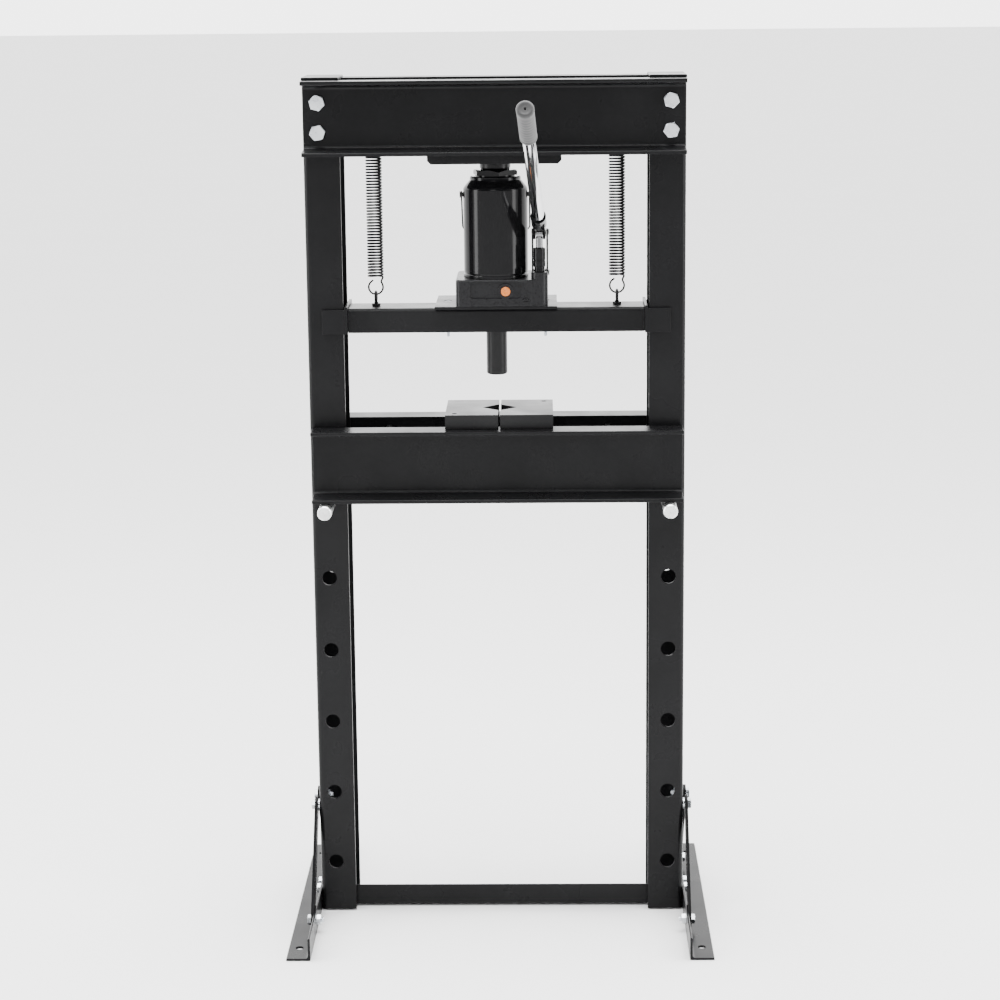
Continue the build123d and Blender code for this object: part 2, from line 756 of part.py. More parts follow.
# ---------------------------------------------------------------- jack
plug_front = base_front - plug_recess
with BuildPart() as jack_base:
    with BuildSketch(Plane.XY.offset(jack_z)):
        with Locations(((base_right - base_left) / 2, (base_rear - base_front) / 2)):
            RectangleRounded(base_left + base_right, base_front + base_rear, base_corner)
    extrude(amount=base_height)
    chamfer(jack_base.faces().sort_by(Axis.Z)[-1].edges(), base_chamfer)
    with BuildSketch(Plane.XZ.offset(base_front)):
        with Locations((0, jack_z + (base_ledge + base_height) / 2)):
            RectangleRounded(2 * pocket_half_width, base_height - base_ledge - pocket_rim, pocket_corner)
    extrude(amount=-plug_recess, mode=Mode.SUBTRACT)
    with BuildSketch(Plane.XY.offset(jack_z)):
        with Locations((pump_x, -pump_front)):
            Circle(boss_radius)
    extrude(amount=boss_rise)
    with BuildSketch(Plane.XY.offset(jack_z)):
        with Locations(((base_right + pump_x) / 2 - boss_radius / 2, -pump_front)):
            Rectangle(boss_radius, boss_web_width)
    extrude(amount=base_height)
    with BuildSketch(Plane.XZ.offset(plug_front)):
        with Locations((plug_x, jack_z + plug_rise)):
            Circle(plug_radius + plug_rim)
    extrude(amount=plug_recess)
    with BuildSketch(Plane(origin=(fulcrum.X, fulcrum.Y, jack_z), x_dir=pin_direction)):
        Rectangle(2 * link_gap - 2 * link_play, link_lug_width)
    extrude(amount=link_foot_rise + link_width / 2)
    with BuildSketch(Plane.XZ.offset(base_front)):
        with Locations((plug_x, jack_z + plug_rise)):
            Circle(plug_radius)
        with Locations((valve_x, jack_z + valve_rise)):
            Circle(valve_radius + bore_clearance)
    extrude(amount=-plug_depth, mode=Mode.SUBTRACT)
    with BuildSketch(Plane(origin=link_foot, x_dir=(0, 0, 1), z_dir=pin_direction)):
        Circle(lever_pin_radius + bore_clearance)
    extrude(amount=link_gap, both=True, mode=Mode.SUBTRACT)
    with BuildSketch(Plane.XY.offset(jack_z + boss_rise)):
        with Locations((pump_x, -pump_front)):
            Circle(piston_radius + piston_clearance)
    extrude(amount=-piston_depth, mode=Mode.SUBTRACT)
jack_base.part.label = "jack_base"
export_step(jack_base.part, "parts/jack_base.step")

tank_foot = jack_z + base_height
with BuildPart() as jack_tank:
    with BuildSketch(Plane.XZ):
        with BuildLine():
            Polyline(
                (cylinder_radius, tank_foot),
                (tank_radius, tank_foot),
                (tank_radius, jack_z + tank_rise),
                (shoulder_radius, jack_z + shoulder_rise),
                (shoulder_radius, jack_z + collar_rise),
                (ram_radius + collar_play, jack_z + collar_rise),
                (ram_radius + collar_play, jack_z + shoulder_rise - tank_wall),
                (shoulder_radius - tank_wall, jack_z + shoulder_rise - tank_wall),
                (tank_radius - tank_wall, jack_z + tank_rise - tank_wall / 2),
                (tank_radius - tank_wall, tank_foot + tank_wall),
                (cylinder_radius, tank_foot + tank_wall),
                close=True,
            )
        make_face()
    revolve(axis=Axis.Z)
    with BuildSketch(Plane.YZ):
        with Locations((0, jack_z + bail_pivot_rise)):
            Circle(bail_stud_radius + bore_clearance)
    extrude(amount=tank_radius, both=True, mode=Mode.SUBTRACT)
jack_tank.part.label = "jack_tank"
export_step(jack_tank.part, "parts/jack_tank.step")

with BuildPart() as jack_cylinder:
    with BuildSketch(Plane.XY.offset(tank_foot)):
        Circle(cylinder_radius - cylinder_play)
        Circle(ram_radius + bore_clearance, mode=Mode.SUBTRACT)
    extrude(amount=shoulder_rise - tank_wall - base_height)
jack_cylinder.part.label = "jack_cylinder"
export_step(jack_cylinder.part, "parts/jack_cylinder.step")

with BuildPart() as packing_nut:
    with BuildSketch(Plane.XY.offset(jack_z + collar_rise)):
        Circle(packing_collar_radius)
    extrude(amount=hexagon_foot - collar_rise)
    with BuildSketch(Plane.XY.offset(jack_z + hexagon_foot)):
        RegularPolygon(hexagon_across / 2, 6, major_radius=False, rotation=hexagon_turn)
    extrude(amount=hexagon_rise - hexagon_foot)
    with BuildSketch(Plane.XY.offset(jack_z + hexagon_rise)):
        Circle(ram_radius + bore_clearance)
    extrude(amount=-(hexagon_rise - collar_rise), mode=Mode.SUBTRACT)
packing_nut.part.label = "packing_nut"
export_step(packing_nut.part, "parts/packing_nut.step")

saddle_foot = jack_height - saddle_thickness
with BuildPart() as jack_ram:
    with BuildSketch(Plane.XY.offset(jack_z + ram_foot)):
        Circle(ram_radius)
    extrude(amount=saddle_foot - ram_foot)
jack_ram.part.label = "jack_ram"
export_step(jack_ram.part, "parts/jack_ram.step")

with BuildPart() as ram_saddle:
    with BuildSketch(Plane.XY.offset(jack_z + saddle_foot)):
        Circle(saddle_radius)
    extrude(amount=saddle_thickness)
    chamfer(ram_saddle.edges(), saddle_chamfer)
ram_saddle.part.label = "ram_saddle"
export_step(ram_saddle.part, "parts/ram_saddle.step")

with BuildPart() as filler_plug:
    with BuildSketch(Plane.XZ.offset(base_front)):
        with Locations((plug_x, jack_z + plug_rise)):
            Circle(plug_radius - plug_clearance)
    extrude(amount=-plug_length)
    with BuildSketch(Plane.XZ.offset(base_front)):
        with Locations((plug_x, jack_z + plug_rise)):
            Circle(plug_radius)
    extrude(amount=plug_head)
    front_edge = filler_plug.faces().sort_by(Axis.Y)[0].edges()
    fillet(front_edge, plug_round)
filler_plug.part.label = "filler_plug"
export_step(filler_plug.part, "parts/filler_plug.step")

with BuildPart() as release_valve:
    with BuildSketch(Plane.XZ.offset(base_front)):
        with Locations((valve_x, jack_z + valve_rise)):
            Circle(valve_radius)
    extrude(amount=valve_head)
    with BuildSketch(Plane.XZ.offset(base_front)):
        with Locations((valve_x, jack_z + valve_rise)):
            Circle(valve_radius)
    extrude(amount=-plug_length)
    with BuildSketch(Plane.XZ.offset(base_front + valve_head)):
        with Locations((valve_x, jack_z + valve_rise)):
            Rectangle(2 * valve_radius, valve_slot)
    extrude(amount=-valve_head / 2, mode=Mode.SUBTRACT)
release_valve.part.label = "release_valve"
export_step(release_valve.part, "parts/release_valve.step")

# ---------------------------------------------------------------- bail
bail_z = jack_z + bail_pivot_rise
stud_foot = tank_radius - tank_wall
studs = []
for side, sign in SIDES:
    stud_place = (sign * stud_foot, 0, bail_z)
    stud_plane = Plane(origin=stud_place, x_dir=(0, 1, 0), z_dir=(sign, 0, 0))
    with BuildPart() as stud:
        with BuildSketch(stud_plane):
            Circle(bail_stud_radius)
        extrude(amount=bail_half_width + bail_wire - stud_foot)
        with BuildSketch(stud_plane.offset(bail_half_width + bail_wire / 2 + bail_play - stud_foot)):
            Circle(bail_stud_radius + bail_stud_lip)
        extrude(amount=bail_wire / 2)
    studs.append(stud.part)
export_group("bail_pivots", studs)

bail_points = [
    (-bail_half_width, 0, bail_z),
    (-bail_half_width, bail_reach, bail_z - bail_drop),
    (bail_half_width, bail_reach, bail_z - bail_drop),
    (bail_half_width, 0, bail_z),
]
arm_direction = Vector(0, bail_reach, -bail_drop).normalized()
arm_start = arm_direction * (bail_eye_radius - bail_wire / 2)
with BuildPart() as bail:
    with BuildLine():
        FilletPolyline(
            Vector(*bail_points[0]) + arm_start,
            bail_points[1],
            bail_points[2],
            Vector(*bail_points[3]) + arm_start,
            radius=bail_corner,
        )
    wire_start = Vector(*bail_points[0]) + arm_start
    with BuildSketch(Plane(origin=wire_start, x_dir=(1, 0, 0), z_dir=arm_direction)):
        Circle(bail_wire / 2)
    sweep()
    for side, sign in SIDES:
        with BuildSketch(Plane.YZ.offset(sign * bail_half_width)):
            with Locations((0, bail_z)):
                Circle(bail_eye_radius)
        extrude(amount=bail_eye_wall / 2, both=True)
    with BuildSketch(Plane.YZ):
        with Locations((0, bail_z)):
            Circle(bail_stud_radius + bail_stud_play)
    extrude(amount=2 * bail_half_width, both=True, mode=Mode.SUBTRACT)
bail.part.label = "bail"
export_step(bail.part, "parts/bail.step")

# ---------------------------------------------------------------- pump, lever and handle
with BuildPart() as pump_body:
    with BuildSketch(Plane.XY.offset(jack_z + boss_rise)):
        with Locations((pump_x, -pump_front)):
            Circle(pump_neck_radius)
    extrude(amount=pump_neck_height)
    with BuildSketch(Plane.XY.offset(jack_z + boss_rise + pump_neck_height)):
        with Locations((pump_x, -pump_front)):
            Circle(pump_radius)
    extrude(amount=pump_rise - boss_rise - pump_neck_height)
    chamfer(pump_body.faces().sort_by(Axis.Z)[-1].edges(), pump_chamfer)
    with BuildSketch(Plane.XY.offset(jack_z + pump_rise)):
        with Locations((pump_x, -pump_front)):
            Circle(piston_radius + piston_clearance)
    extrude(amount=boss_rise - pump_rise, mode=Mode.SUBTRACT)
pump_body.part.label = "pump_body"
export_step(pump_body.part, "parts/pump_body.step")

with BuildPart() as pump_piston:
    piston_foot = jack_z + boss_rise - piston_depth + piston_foot_play
    with BuildSketch(Plane.XY.offset(piston_foot)):
        with Locations((pump_x, -pump_front)):
            Circle(piston_radius)
    extrude(amount=lever_z - piston_foot - piston_eye_radius + piston_eye_root)
    with BuildSketch(lever_plane):
        Circle(piston_eye_radius)
    extrude(amount=piston_radius - piston_eye_inset, both=True)
    with BuildSketch(lever_plane):
        Circle(lever_pin_radius + bore_clearance)
    extrude(amount=2 * piston_radius, both=True, mode=Mode.SUBTRACT)
pump_piston.part.label = "pump_piston"
export_step(pump_piston.part, "parts/pump_piston.step")

pins = {
    "piston_pin": (pump_axis, cheek_outside + pin_proud),
    "fulcrum_pin": (fulcrum, link_gap + link_thickness + pin_proud),
    "link_foot_pin": (link_foot, link_gap + link_thickness + pin_proud),
}
for pin_name, (centre, half_length) in pins.items():
    pin_plane = Plane(origin=centre, x_dir=(0, 0, 1), z_dir=pin_direction)
    with BuildPart() as lever_pin:
        with BuildSketch(pin_plane):
            Circle(lever_pin_radius)
        extrude(amount=half_length, both=True)
        with BuildSketch(pin_plane.offset(half_length)):
            Circle(lever_pin_radius + lever_pin_lip)
        extrude(amount=lever_pin_head)
    lever_pin.part.label = pin_name
    export_step(lever_pin.part, f"parts/{pin_name}.step")

link_length = lever_pin_rise - link_foot_rise
links = []
for offset in (link_gap, -link_gap - link_thickness):
    link_plane = Plane(origin=(fulcrum + link_foot) / 2, x_dir=(0, 0, 1), z_dir=pin_direction).offset(offset)
    with BuildPart() as link:
        with BuildSketch(link_plane):
            SlotCenterToCenter(link_length, link_width)
            with GridLocations(link_length, 1, 2, 1):
                Circle(lever_pin_radius + bore_clearance, mode=Mode.SUBTRACT)
        extrude(amount=link_thickness)
    links.append(link.part)
export_group("pump_links", links)

socket_plane = Plane(
    origin=socket_origin + socket_direction * socket_start, x_dir=pin_direction, z_dir=socket_direction
)
with BuildPart() as handle_socket:
    for offset in (cheek_inside, -cheek_outside):
        with BuildSketch(lever_plane.offset(offset)):
            with Locations((-lever_arm, 0)):
                Circle(lever_heel_radius)
            Circle(cheek_radius)
            for along in (socket_start + cheek_radius / 2, socket_end - 2 * cheek_radius):
                with Locations((along * math.cos(pitch), socket_height + along * math.sin(pitch))):
                    Circle(cheek_radius)
            make_hull()
        extrude(amount=cheek_outside - cheek_inside)
    with BuildSketch(socket_plane):
        Circle(socket_radius)
    extrude(amount=socket_end - socket_start)
    with BuildSketch(socket_plane.offset(socket_floor)):
        Circle(handle_radius + handle_clearance)
    extrude(amount=socket_end, mode=Mode.SUBTRACT)
    with BuildSketch(lever_plane):
        with Locations((-lever_arm, 0)):
            Circle(lever_pin_radius + bore_clearance)
        with Locations((lever_slot_shift, 0)):
            SlotCenterToCenter(lever_slot_travel, lever_slot_height)
    extrude(amount=2 * cheek_outside, both=True, mode=Mode.SUBTRACT)
handle_socket.part.label = "handle_socket"
export_step(handle_socket.part, "parts/handle_socket.step")

handle_plane = socket_plane.offset(socket_floor + handle_foot_play)
with BuildPart() as handle_tube:
    with BuildSketch(handle_plane):
        Circle(handle_radius)
        Circle(handle_radius - handle_wall, mode=Mode.SUBTRACT)
    extrude(amount=handle_length - grip_cap)
handle_tube.part.label = "handle_tube"
export_step(handle_tube.part, "parts/handle_tube.step")

grip_plane = handle_plane.offset(handle_length - grip_length)
with BuildPart() as handle_grip:
    with BuildSketch(grip_plane):
        Circle(grip_radius)
    extrude(amount=grip_length)
    end_edge = handle_grip.faces().sort_by(Axis(grip_plane.origin, grip_plane.z_dir))[-1].edges()
    fillet(end_edge, grip_dome)
    with BuildSketch(grip_plane):
        Circle(handle_radius + bore_clearance)
    extrude(amount=grip_length - grip_cap, mode=Mode.SUBTRACT)
    with BuildSketch(grip_plane):
        Circle(grip_hole_radius)
    extrude(amount=grip_length, mode=Mode.SUBTRACT)
handle_grip.part.label = "handle_grip"
export_step(handle_grip.part, "parts/handle_grip.step")
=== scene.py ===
"""Looks of a hydraulic shop press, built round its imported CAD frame.

Metres, +Z is up and the operator stands on the -Y side. Each piece rides on the body that carries it.
"""

from __future__ import annotations

import json
import logging
import math
from dataclasses import dataclass
from enum import Enum

import bmesh
import bpy
from mathutils import Matrix, Vector


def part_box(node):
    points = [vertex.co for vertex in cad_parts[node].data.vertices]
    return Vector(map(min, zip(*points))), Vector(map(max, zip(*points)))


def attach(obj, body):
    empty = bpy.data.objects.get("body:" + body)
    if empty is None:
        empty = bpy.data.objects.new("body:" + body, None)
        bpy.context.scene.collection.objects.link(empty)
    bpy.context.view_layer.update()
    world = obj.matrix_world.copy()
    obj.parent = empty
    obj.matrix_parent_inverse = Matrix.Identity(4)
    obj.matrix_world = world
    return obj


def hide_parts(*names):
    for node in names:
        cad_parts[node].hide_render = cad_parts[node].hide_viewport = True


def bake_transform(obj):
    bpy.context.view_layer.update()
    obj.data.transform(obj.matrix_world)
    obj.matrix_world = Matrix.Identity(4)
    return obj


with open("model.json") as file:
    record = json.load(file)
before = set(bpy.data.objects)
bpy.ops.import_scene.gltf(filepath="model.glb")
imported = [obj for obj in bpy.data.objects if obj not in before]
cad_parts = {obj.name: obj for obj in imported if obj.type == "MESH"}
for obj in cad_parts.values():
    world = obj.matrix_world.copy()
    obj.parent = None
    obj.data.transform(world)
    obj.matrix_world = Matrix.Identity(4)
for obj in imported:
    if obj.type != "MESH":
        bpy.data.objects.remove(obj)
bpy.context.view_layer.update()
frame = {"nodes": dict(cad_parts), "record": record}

LOG = logging.getLogger("shop_press")
MERGE = 0.000005
FLAT = math.radians(0.5)
CREASE = math.radians(44.0)
FLAT_FACE, SHARP_EDGE = 0.995, 0.93
CORNER_STEP, CORNER_SPAN, CORNER_SLOPE, CORNER_REACH = 10, 12, math.radians(28), 0.485
UP = Vector((0.0, 0.0, 1.0))
SIDES = (("left", -1), ("right", 1))
ENDS = (("front", -1), ("rear", 1))
Colour = tuple[float, float, float]
Outline = list[tuple[float, float]]


class Sum(Enum):
    """Arithmetic that shader values use."""

    PLUS = "ADD"
    TIMES = "MULTIPLY"


class Lay(Enum):
    """Direction of the tool marks on bare metal, as a stretch of the noise along X, Y and Z."""

    NONE = (1.0, 1.0, 1.0)
    TURNED_ON_Y = (0.06, 9.0, 0.06)
    TURNED_ON_Z = (0.06, 0.06, 9.0)
    DRAWN_ON_Z = (9.0, 9.0, 0.06)


class Signal:
    """A shader socket that can be used in sums."""

    def __init__(self, recipe: Recipe, socket: bpy.types.NodeSocket) -> None:
        """Keeps the recipe that the socket belongs to."""
        self.recipe = recipe
        self.socket = socket

    def _sum(self, kind: Sum, first: Signal | float, second: Signal | float) -> Signal:
        """Adds one Math node.

        Args:
            kind: What the node does.
            first: The first term.
            second: The second term.

        Returns:
            The node's result.
        """
        node = self.recipe.node("ShaderNodeMath", {"operation": kind.value}, {0: first, 1: second})
        return Signal(self.recipe, node.outputs[0])

    def __add__(self, other: Signal | float) -> Signal:
        """This plus the other."""
        return self._sum(Sum.PLUS, self, other)

    def __mul__(self, other: Signal | float) -> Signal:
        """This times the other."""
        return self._sum(Sum.TIMES, self, other)


class Recipe:
    """One material and the nodes that make it."""

    def __init__(self, name: str, constants: dict[str, float | tuple]) -> None:
        """Starts a material.

        Args:
            name: The material's name.
            constants: Values of shader sockets that are the same all over the surface.
        """
        self.material = bpy.data.materials.new(name)
        self.material.use_nodes = True
        self.tree = self.material.node_tree
        self.shader = self.tree.nodes["Principled BSDF"]
        for socket, value in constants.items():
            self.shader.inputs[socket].default_value = value
        self.place = self.node("ShaderNodeTexCoord", {}, {}).outputs["Object"]

    def node(self, kind: str, settings: dict, sockets: dict) -> bpy.types.Node:
        """Adds a node.

        Args:
            kind: The node's type.
            settings: Its own settings, set before the sockets.
            sockets: Values, sockets or signals for its inputs, by name or number.

        Returns:
            The node.
        """
        made = self.tree.nodes.new(kind)
        for name, value in settings.items():
            setattr(made, name, value)
        for name, value in sockets.items():
            source = value.socket if isinstance(value, Signal) else value
            if isinstance(source, bpy.types.NodeSocket):
                self.tree.links.new(source, made.inputs[name])
            else:
                made.inputs[name].default_value = source
        return made

    def noise(self, scale: float, detail: float = 2.0, lay: Lay = Lay.NONE, offset: float = 0.0) -> Signal:
        """Soft noise from 0 to 1, in the piece's own space.

        Args:
            scale: Features per metre.
            detail: Octaves.
            lay: Direction that the features are stretched in.
            offset: Moves the pattern, so that two of one scale differ.

        Returns:
            The noise.
        """
        settled = {"Vector": self.place, "Scale": lay.value, "Location": (offset, offset, offset)}
        mapped = self.node("ShaderNodeMapping", {}, settled).outputs["Vector"]
        sockets = {"Vector": mapped, "Scale": scale, "Detail": detail}
        return Signal(self, self.node("ShaderNodeTexNoise", {}, sockets).outputs[0])

    def between(
        self, signal: Signal, low: float, high: float, start: float = 0.0, end: float = 1.0,
    ) -> Signal:
        """Stretches a signal from low..high to start..end, and holds it there."""
        sockets = {0: signal, 1: low, 2: high, 3: start, 4: end}
        return Signal(self, self.node("ShaderNodeMapRange", {"clamp": True}, sockets).outputs[0])

    def shade(
        self, mask: Signal, first: Colour | bpy.types.NodeSocket, second: Colour,
    ) -> bpy.types.NodeSocket:
        """Mixes two colours by a mask from 0 to 1."""
        opaque = [(*tone, 1.0) if isinstance(tone, tuple) else tone for tone in (first, second)]
        sockets = {0: mask, 6: opaque[0], 7: opaque[1]}
        return self.node("ShaderNodeMix", {"data_type": "RGBA"}, sockets).outputs[2]

    def edges(self, radius: float) -> Signal:
        """Mask that is 1 on sharp outer and inner edges and 0 on flats."""
        soft = self.node("ShaderNodeBevel", {"samples": 4}, {"Radius": radius}).outputs[0]
        hard = self.node("ShaderNodeNewGeometry", {}, {}).outputs["Normal"]
        node = self.node("ShaderNodeVectorMath", {"operation": "DOT_PRODUCT"}, {0: soft, 1: hard})
        return self.between(Signal(self, node.outputs["Value"]), FLAT_FACE, SHARP_EDGE)

    def finish(
        self, colour: bpy.types.NodeSocket, roughness: Signal, height: Signal, depth: float,
    ) -> bpy.types.Material:
        """Joins the patterns to the shader.

        Args:
            colour: The base colour.
            roughness: The roughness.
            height: Height of the surface's texture, from 0 to 1.
            depth: Depth of that texture, in metres.

        Returns:
            The material.
        """
        bump = self.node("ShaderNodeBump", {}, {"Strength": 1.0, "Distance": depth, "Height": height})
        self.tree.links.new(colour, self.shader.inputs["Base Color"])
        self.tree.links.new(roughness.socket, self.shader.inputs["Roughness"])
        self.tree.links.new(bump.outputs[0], self.shader.inputs["Normal"])
        return self.material


@dataclass(frozen=True)
class Paint:
    """Sprayed or powder-coated paint with fine orange peel, rubbed a little at its edges."""

    name: str
    dark: Colour
    light: Colour
    gloss: tuple[float, float]
    peel: float
    depth: float
    rubbed: Colour
    shine: float = 0.1

    def material(self) -> bpy.types.Material:
        """Makes the paint's material."""
        recipe = Recipe(self.name, {"Metallic": 0.0, "Specular IOR Level": self.shine})
        cloud = recipe.noise(7.0, 3.0)
        peel = recipe.noise(self.peel, 2.0)
        speck = recipe.between(recipe.noise(2600.0, 0.0), 0.66, 0.8)
        body = recipe.shade(recipe.between(cloud, 0.35, 0.7), self.dark, self.light)
        flecked = recipe.shade(speck * 0.35, body, self.rubbed)
        worn = recipe.edges(0.0009) * recipe.between(recipe.noise(55.0, 4.0), 0.5, 0.72)
        colour = recipe.shade(worn * 0.3, flecked, self.rubbed)
        smudge = recipe.between(recipe.noise(16.0, 5.0, offset=3.0), 0.3, 0.75, *self.gloss)
        return recipe.finish(colour, smudge + worn * 0.15, peel, self.depth)


@dataclass(frozen=True)
class Metal:
    """Bare or plated metal with tool marks and a patchy sheen."""

    name: str
    dark: Colour
    light: Colour
    gloss: tuple[float, float]
    lay: Lay
    marks: float
    depth: float

    def material(self) -> bpy.types.Material:
        """Makes the metal's material."""
        recipe = Recipe(self.name, {"Metallic": 1.0})
        marks = recipe.noise(self.marks, 3.0, self.lay)
        cloud = recipe.noise(45.0, 4.0, offset=5.0)
        grime = recipe.between(recipe.noise(140.0, 5.0, offset=9.0), 0.62, 0.8)
        tone = recipe.shade(recipe.between(cloud * 0.6 + marks * 0.4, 0.35, 0.65), self.dark, self.light)
        dull = tuple(channel * 0.45 for channel in self.dark)
        colour = recipe.shade(grime * 0.5, tone, dull)
        sheen = recipe.between(cloud, 0.3, 0.7, *self.gloss)
        return recipe.finish(colour, sheen + grime * 0.15, marks, self.depth)


@dataclass(frozen=True)
class Casting:
    """Painted casting with the grain of its mould."""

    name: str
    dark: Colour
    light: Colour
    gloss: tuple[float, float]
    grain: float
    depth: float
    shine: float = 0.15

    def material(self) -> bpy.types.Material:
        """Makes the casting's material."""
        recipe = Recipe(self.name, {"Metallic": 0.0, "Specular IOR Level": self.shine})
        grain = recipe.noise(self.grain, 5.0) * 0.7 + recipe.noise(self.grain * 0.25, 2.0, offset=2.0) * 0.3
        tone = recipe.shade(recipe.between(grain, 0.35, 0.65), self.dark, self.light)
        edge = recipe.edges(0.0012) * recipe.between(recipe.noise(90.0, 4.0), 0.48, 0.7)
        colour = recipe.shade(edge * 0.5, tone, tuple(channel * 4.0 for channel in self.light))
        return recipe.finish(colour, recipe.between(grain, 0.3, 0.7, *self.gloss), grain, self.depth)


@dataclass(frozen=True)
class Moulded:
    """Moulded rubber or plastic with a fine matt grain."""

    name: str
    dark: Colour
    light: Colour
    gloss: tuple[float, float]
    grain: float
    depth: float
    sheen: float

    def material(self) -> bpy.types.Material:
        """Makes the moulding's material."""
        recipe = Recipe(self.name, {"Metallic": 0.0, "Sheen Weight": self.sheen})
        grain = recipe.noise(self.grain, 3.0)
        cloud = recipe.noise(35.0, 4.0, offset=4.0)
        colour = recipe.shade(recipe.between(cloud * 0.7 + grain * 0.3, 0.35, 0.65), self.dark, self.light)
        return recipe.finish(colour, recipe.between(cloud, 0.3, 0.7, *self.gloss), grain, self.depth)


Finish = Paint | Metal | Casting | Moulded
BLACK = (0.004, 0.004, 0.0044)
SOFT_BLACK = (0.0065, 0.0065, 0.007)
RUBBED = (0.05, 0.05, 0.05)
FINISHES: dict[str, Finish] = {
    "black_paint": Paint("black_powder_coat", BLACK, SOFT_BLACK, (0.24, 0.36), 620.0, 0.000025, RUBBED),
    "tool_black": Paint(
        "tool_black", BLACK, (0.0085, 0.0085, 0.009), (0.26, 0.4), 380.0, 0.00003, RUBBED, 0.18,
    ),
    "jack_enamel": Paint(
        "jack_enamel", (0.003, 0.003, 0.0035), BLACK, (0.08, 0.16), 260.0, 0.00001, RUBBED, 0.12,
    ),
    "spring_steel": Paint("spring_black", BLACK, SOFT_BLACK, (0.3, 0.44), 700.0, 0.00001, RUBBED, 0.04),
    "cast_body": Casting(
        "painted_casting", (0.005, 0.005, 0.0055), (0.011, 0.011, 0.012), (0.22, 0.4), 420.0, 0.00025,
    ),
    "zinc_hardware": Metal(
        "zinc_plate", (0.55, 0.58, 0.62), (0.78, 0.8, 0.82), (0.2, 0.36), Lay.NONE, 900.0, 0.00002
    ),
    "pin_steel": Metal(
        "turned_pin", (0.6, 0.61, 0.61), (0.82, 0.83, 0.82), (0.22, 0.36), Lay.TURNED_ON_Y, 300.0, 0.00003
    ),
    "ram_steel": Metal(
        "ground_steel", (0.12, 0.12, 0.125), (0.2, 0.2, 0.205), (0.14, 0.28), Lay.TURNED_ON_Z, 260.0, 0.00002
    ),
    "linkage_steel": Metal(
        "plated_linkage", (0.2, 0.2, 0.2), (0.34, 0.34, 0.33), (0.26, 0.42), Lay.NONE, 500.0, 0.00004
    ),
    "handle_chrome": Metal(
        "polished_tube", (0.74, 0.74, 0.76), (0.84, 0.84, 0.85), (0.04, 0.11), Lay.DRAWN_ON_Z, 120.0, 0.000006
    ),
    "grip_rubber": Moulded(
        "grip_grey", (0.014, 0.014, 0.0145), (0.024, 0.024, 0.0245), (0.5, 0.68), 1100.0, 0.00006, 0.15,
    ),
    "plug_orange": Moulded(
        "plug_orange", (0.42, 0.1, 0.006), (0.6, 0.17, 0.012), (0.3, 0.45), 500.0, 0.00003, 0.0,
    ),
}


class Paintshop:
    """Hands out each slot's material, made once."""

    made: dict[str, bpy.types.Material] = {}

    @classmethod
    def material(cls, slot: str) -> bpy.types.Material:
        """The material of one of the record's slots."""
        if slot not in cls.made:
            cls.made[slot] = FINISHES[slot].material()
        return cls.made[slot]


def towards(origin: Vector, axis: Vector, across: Vector | None = None) -> Matrix:
    """Place of a piece that is made along +Z from the origin.

    Args:
        origin: Where its own origin goes.
        axis: Where its +Z points.
        across: Where its +X points, as far as that is square to the axis.

    Returns:
        The matrix that puts it there.
    """
    upward = axis.normalized()
    hint = across or (Vector((1.0, 0.0, 0.0)) if abs(upward.x) < 0.9 else Vector((0.0, 1.0, 0.0)))
    side = (hint - upward * hint.dot(upward)).normalized()
    turned = Matrix((side, upward.cross(side), upward)).transposed().to_4x4()
    return Matrix.Translation(origin) @ turned


class Form:
    """A shape in the making, as a bmesh in metres."""

    def __init__(self) -> None:
        """Starts empty."""
        self.mesh = bmesh.new()

    @classmethod
    def of_node(cls, node: str) -> Form:
        """A merged copy of a CAD node, with its flat faces made whole."""
        form = cls()
        form.mesh.from_mesh(frame["nodes"][node].data)
        bmesh.ops.remove_doubles(form.mesh, verts=form.mesh.verts, dist=MERGE)
        edges = form.mesh.edges[:]
        bmesh.ops.dissolve_limit(form.mesh, angle_limit=FLAT, verts=form.mesh.verts[:], edges=edges)
        return form

    def add(self, other: Form, place: Matrix | None = None) -> Form:
        """Puts another form into this one, and gives this one back."""
        if place is not None:
            other.mesh.transform(place)
        kept = bpy.data.meshes.new("passing")
        other.mesh.to_mesh(kept)
        other.mesh.free()
        self.mesh.from_mesh(kept)
        bpy.data.meshes.remove(kept)
        return self

    def rounded(self, width: float, segments: int = 2, sharpest: float = 38.0) -> Form:
        """Rounds every edge that is sharper than an angle.

        Args:
            width: Width of the rounding, in metres.
            segments: Faces across it.
            sharpest: Edges that turn by fewer degrees are left alone.

        Returns:
            The form.
        """
        limit = math.radians(sharpest)
        crisp = [edge for edge in self.mesh.edges if edge.is_manifold and edge.calc_face_angle(0.0) > limit]
        bmesh.ops.bevel(
            self.mesh,
            geom=crisp,
            offset=width,
            offset_type="OFFSET",
            segments=segments,
            profile=0.5,
            affect="EDGES",
            clamp_overlap=True,
            material=-1,
        )
        return self

    def piece(self, name: str, body: str, slot: str, replaced: tuple[str, ...] = ()) -> bpy.types.Object:
        """Makes the finished piece.

        Args:
            name: Its name.
            body: The CAD body that carries it.
            slot: The record's material slot.
            replaced: CAD nodes that it stands for.

        Returns:
            The piece.
        """
        data = bpy.data.meshes.new(name)
        self.mesh.to_mesh(data)
        self.mesh.free()
        return dressed(data, name, body, slot, replaced)


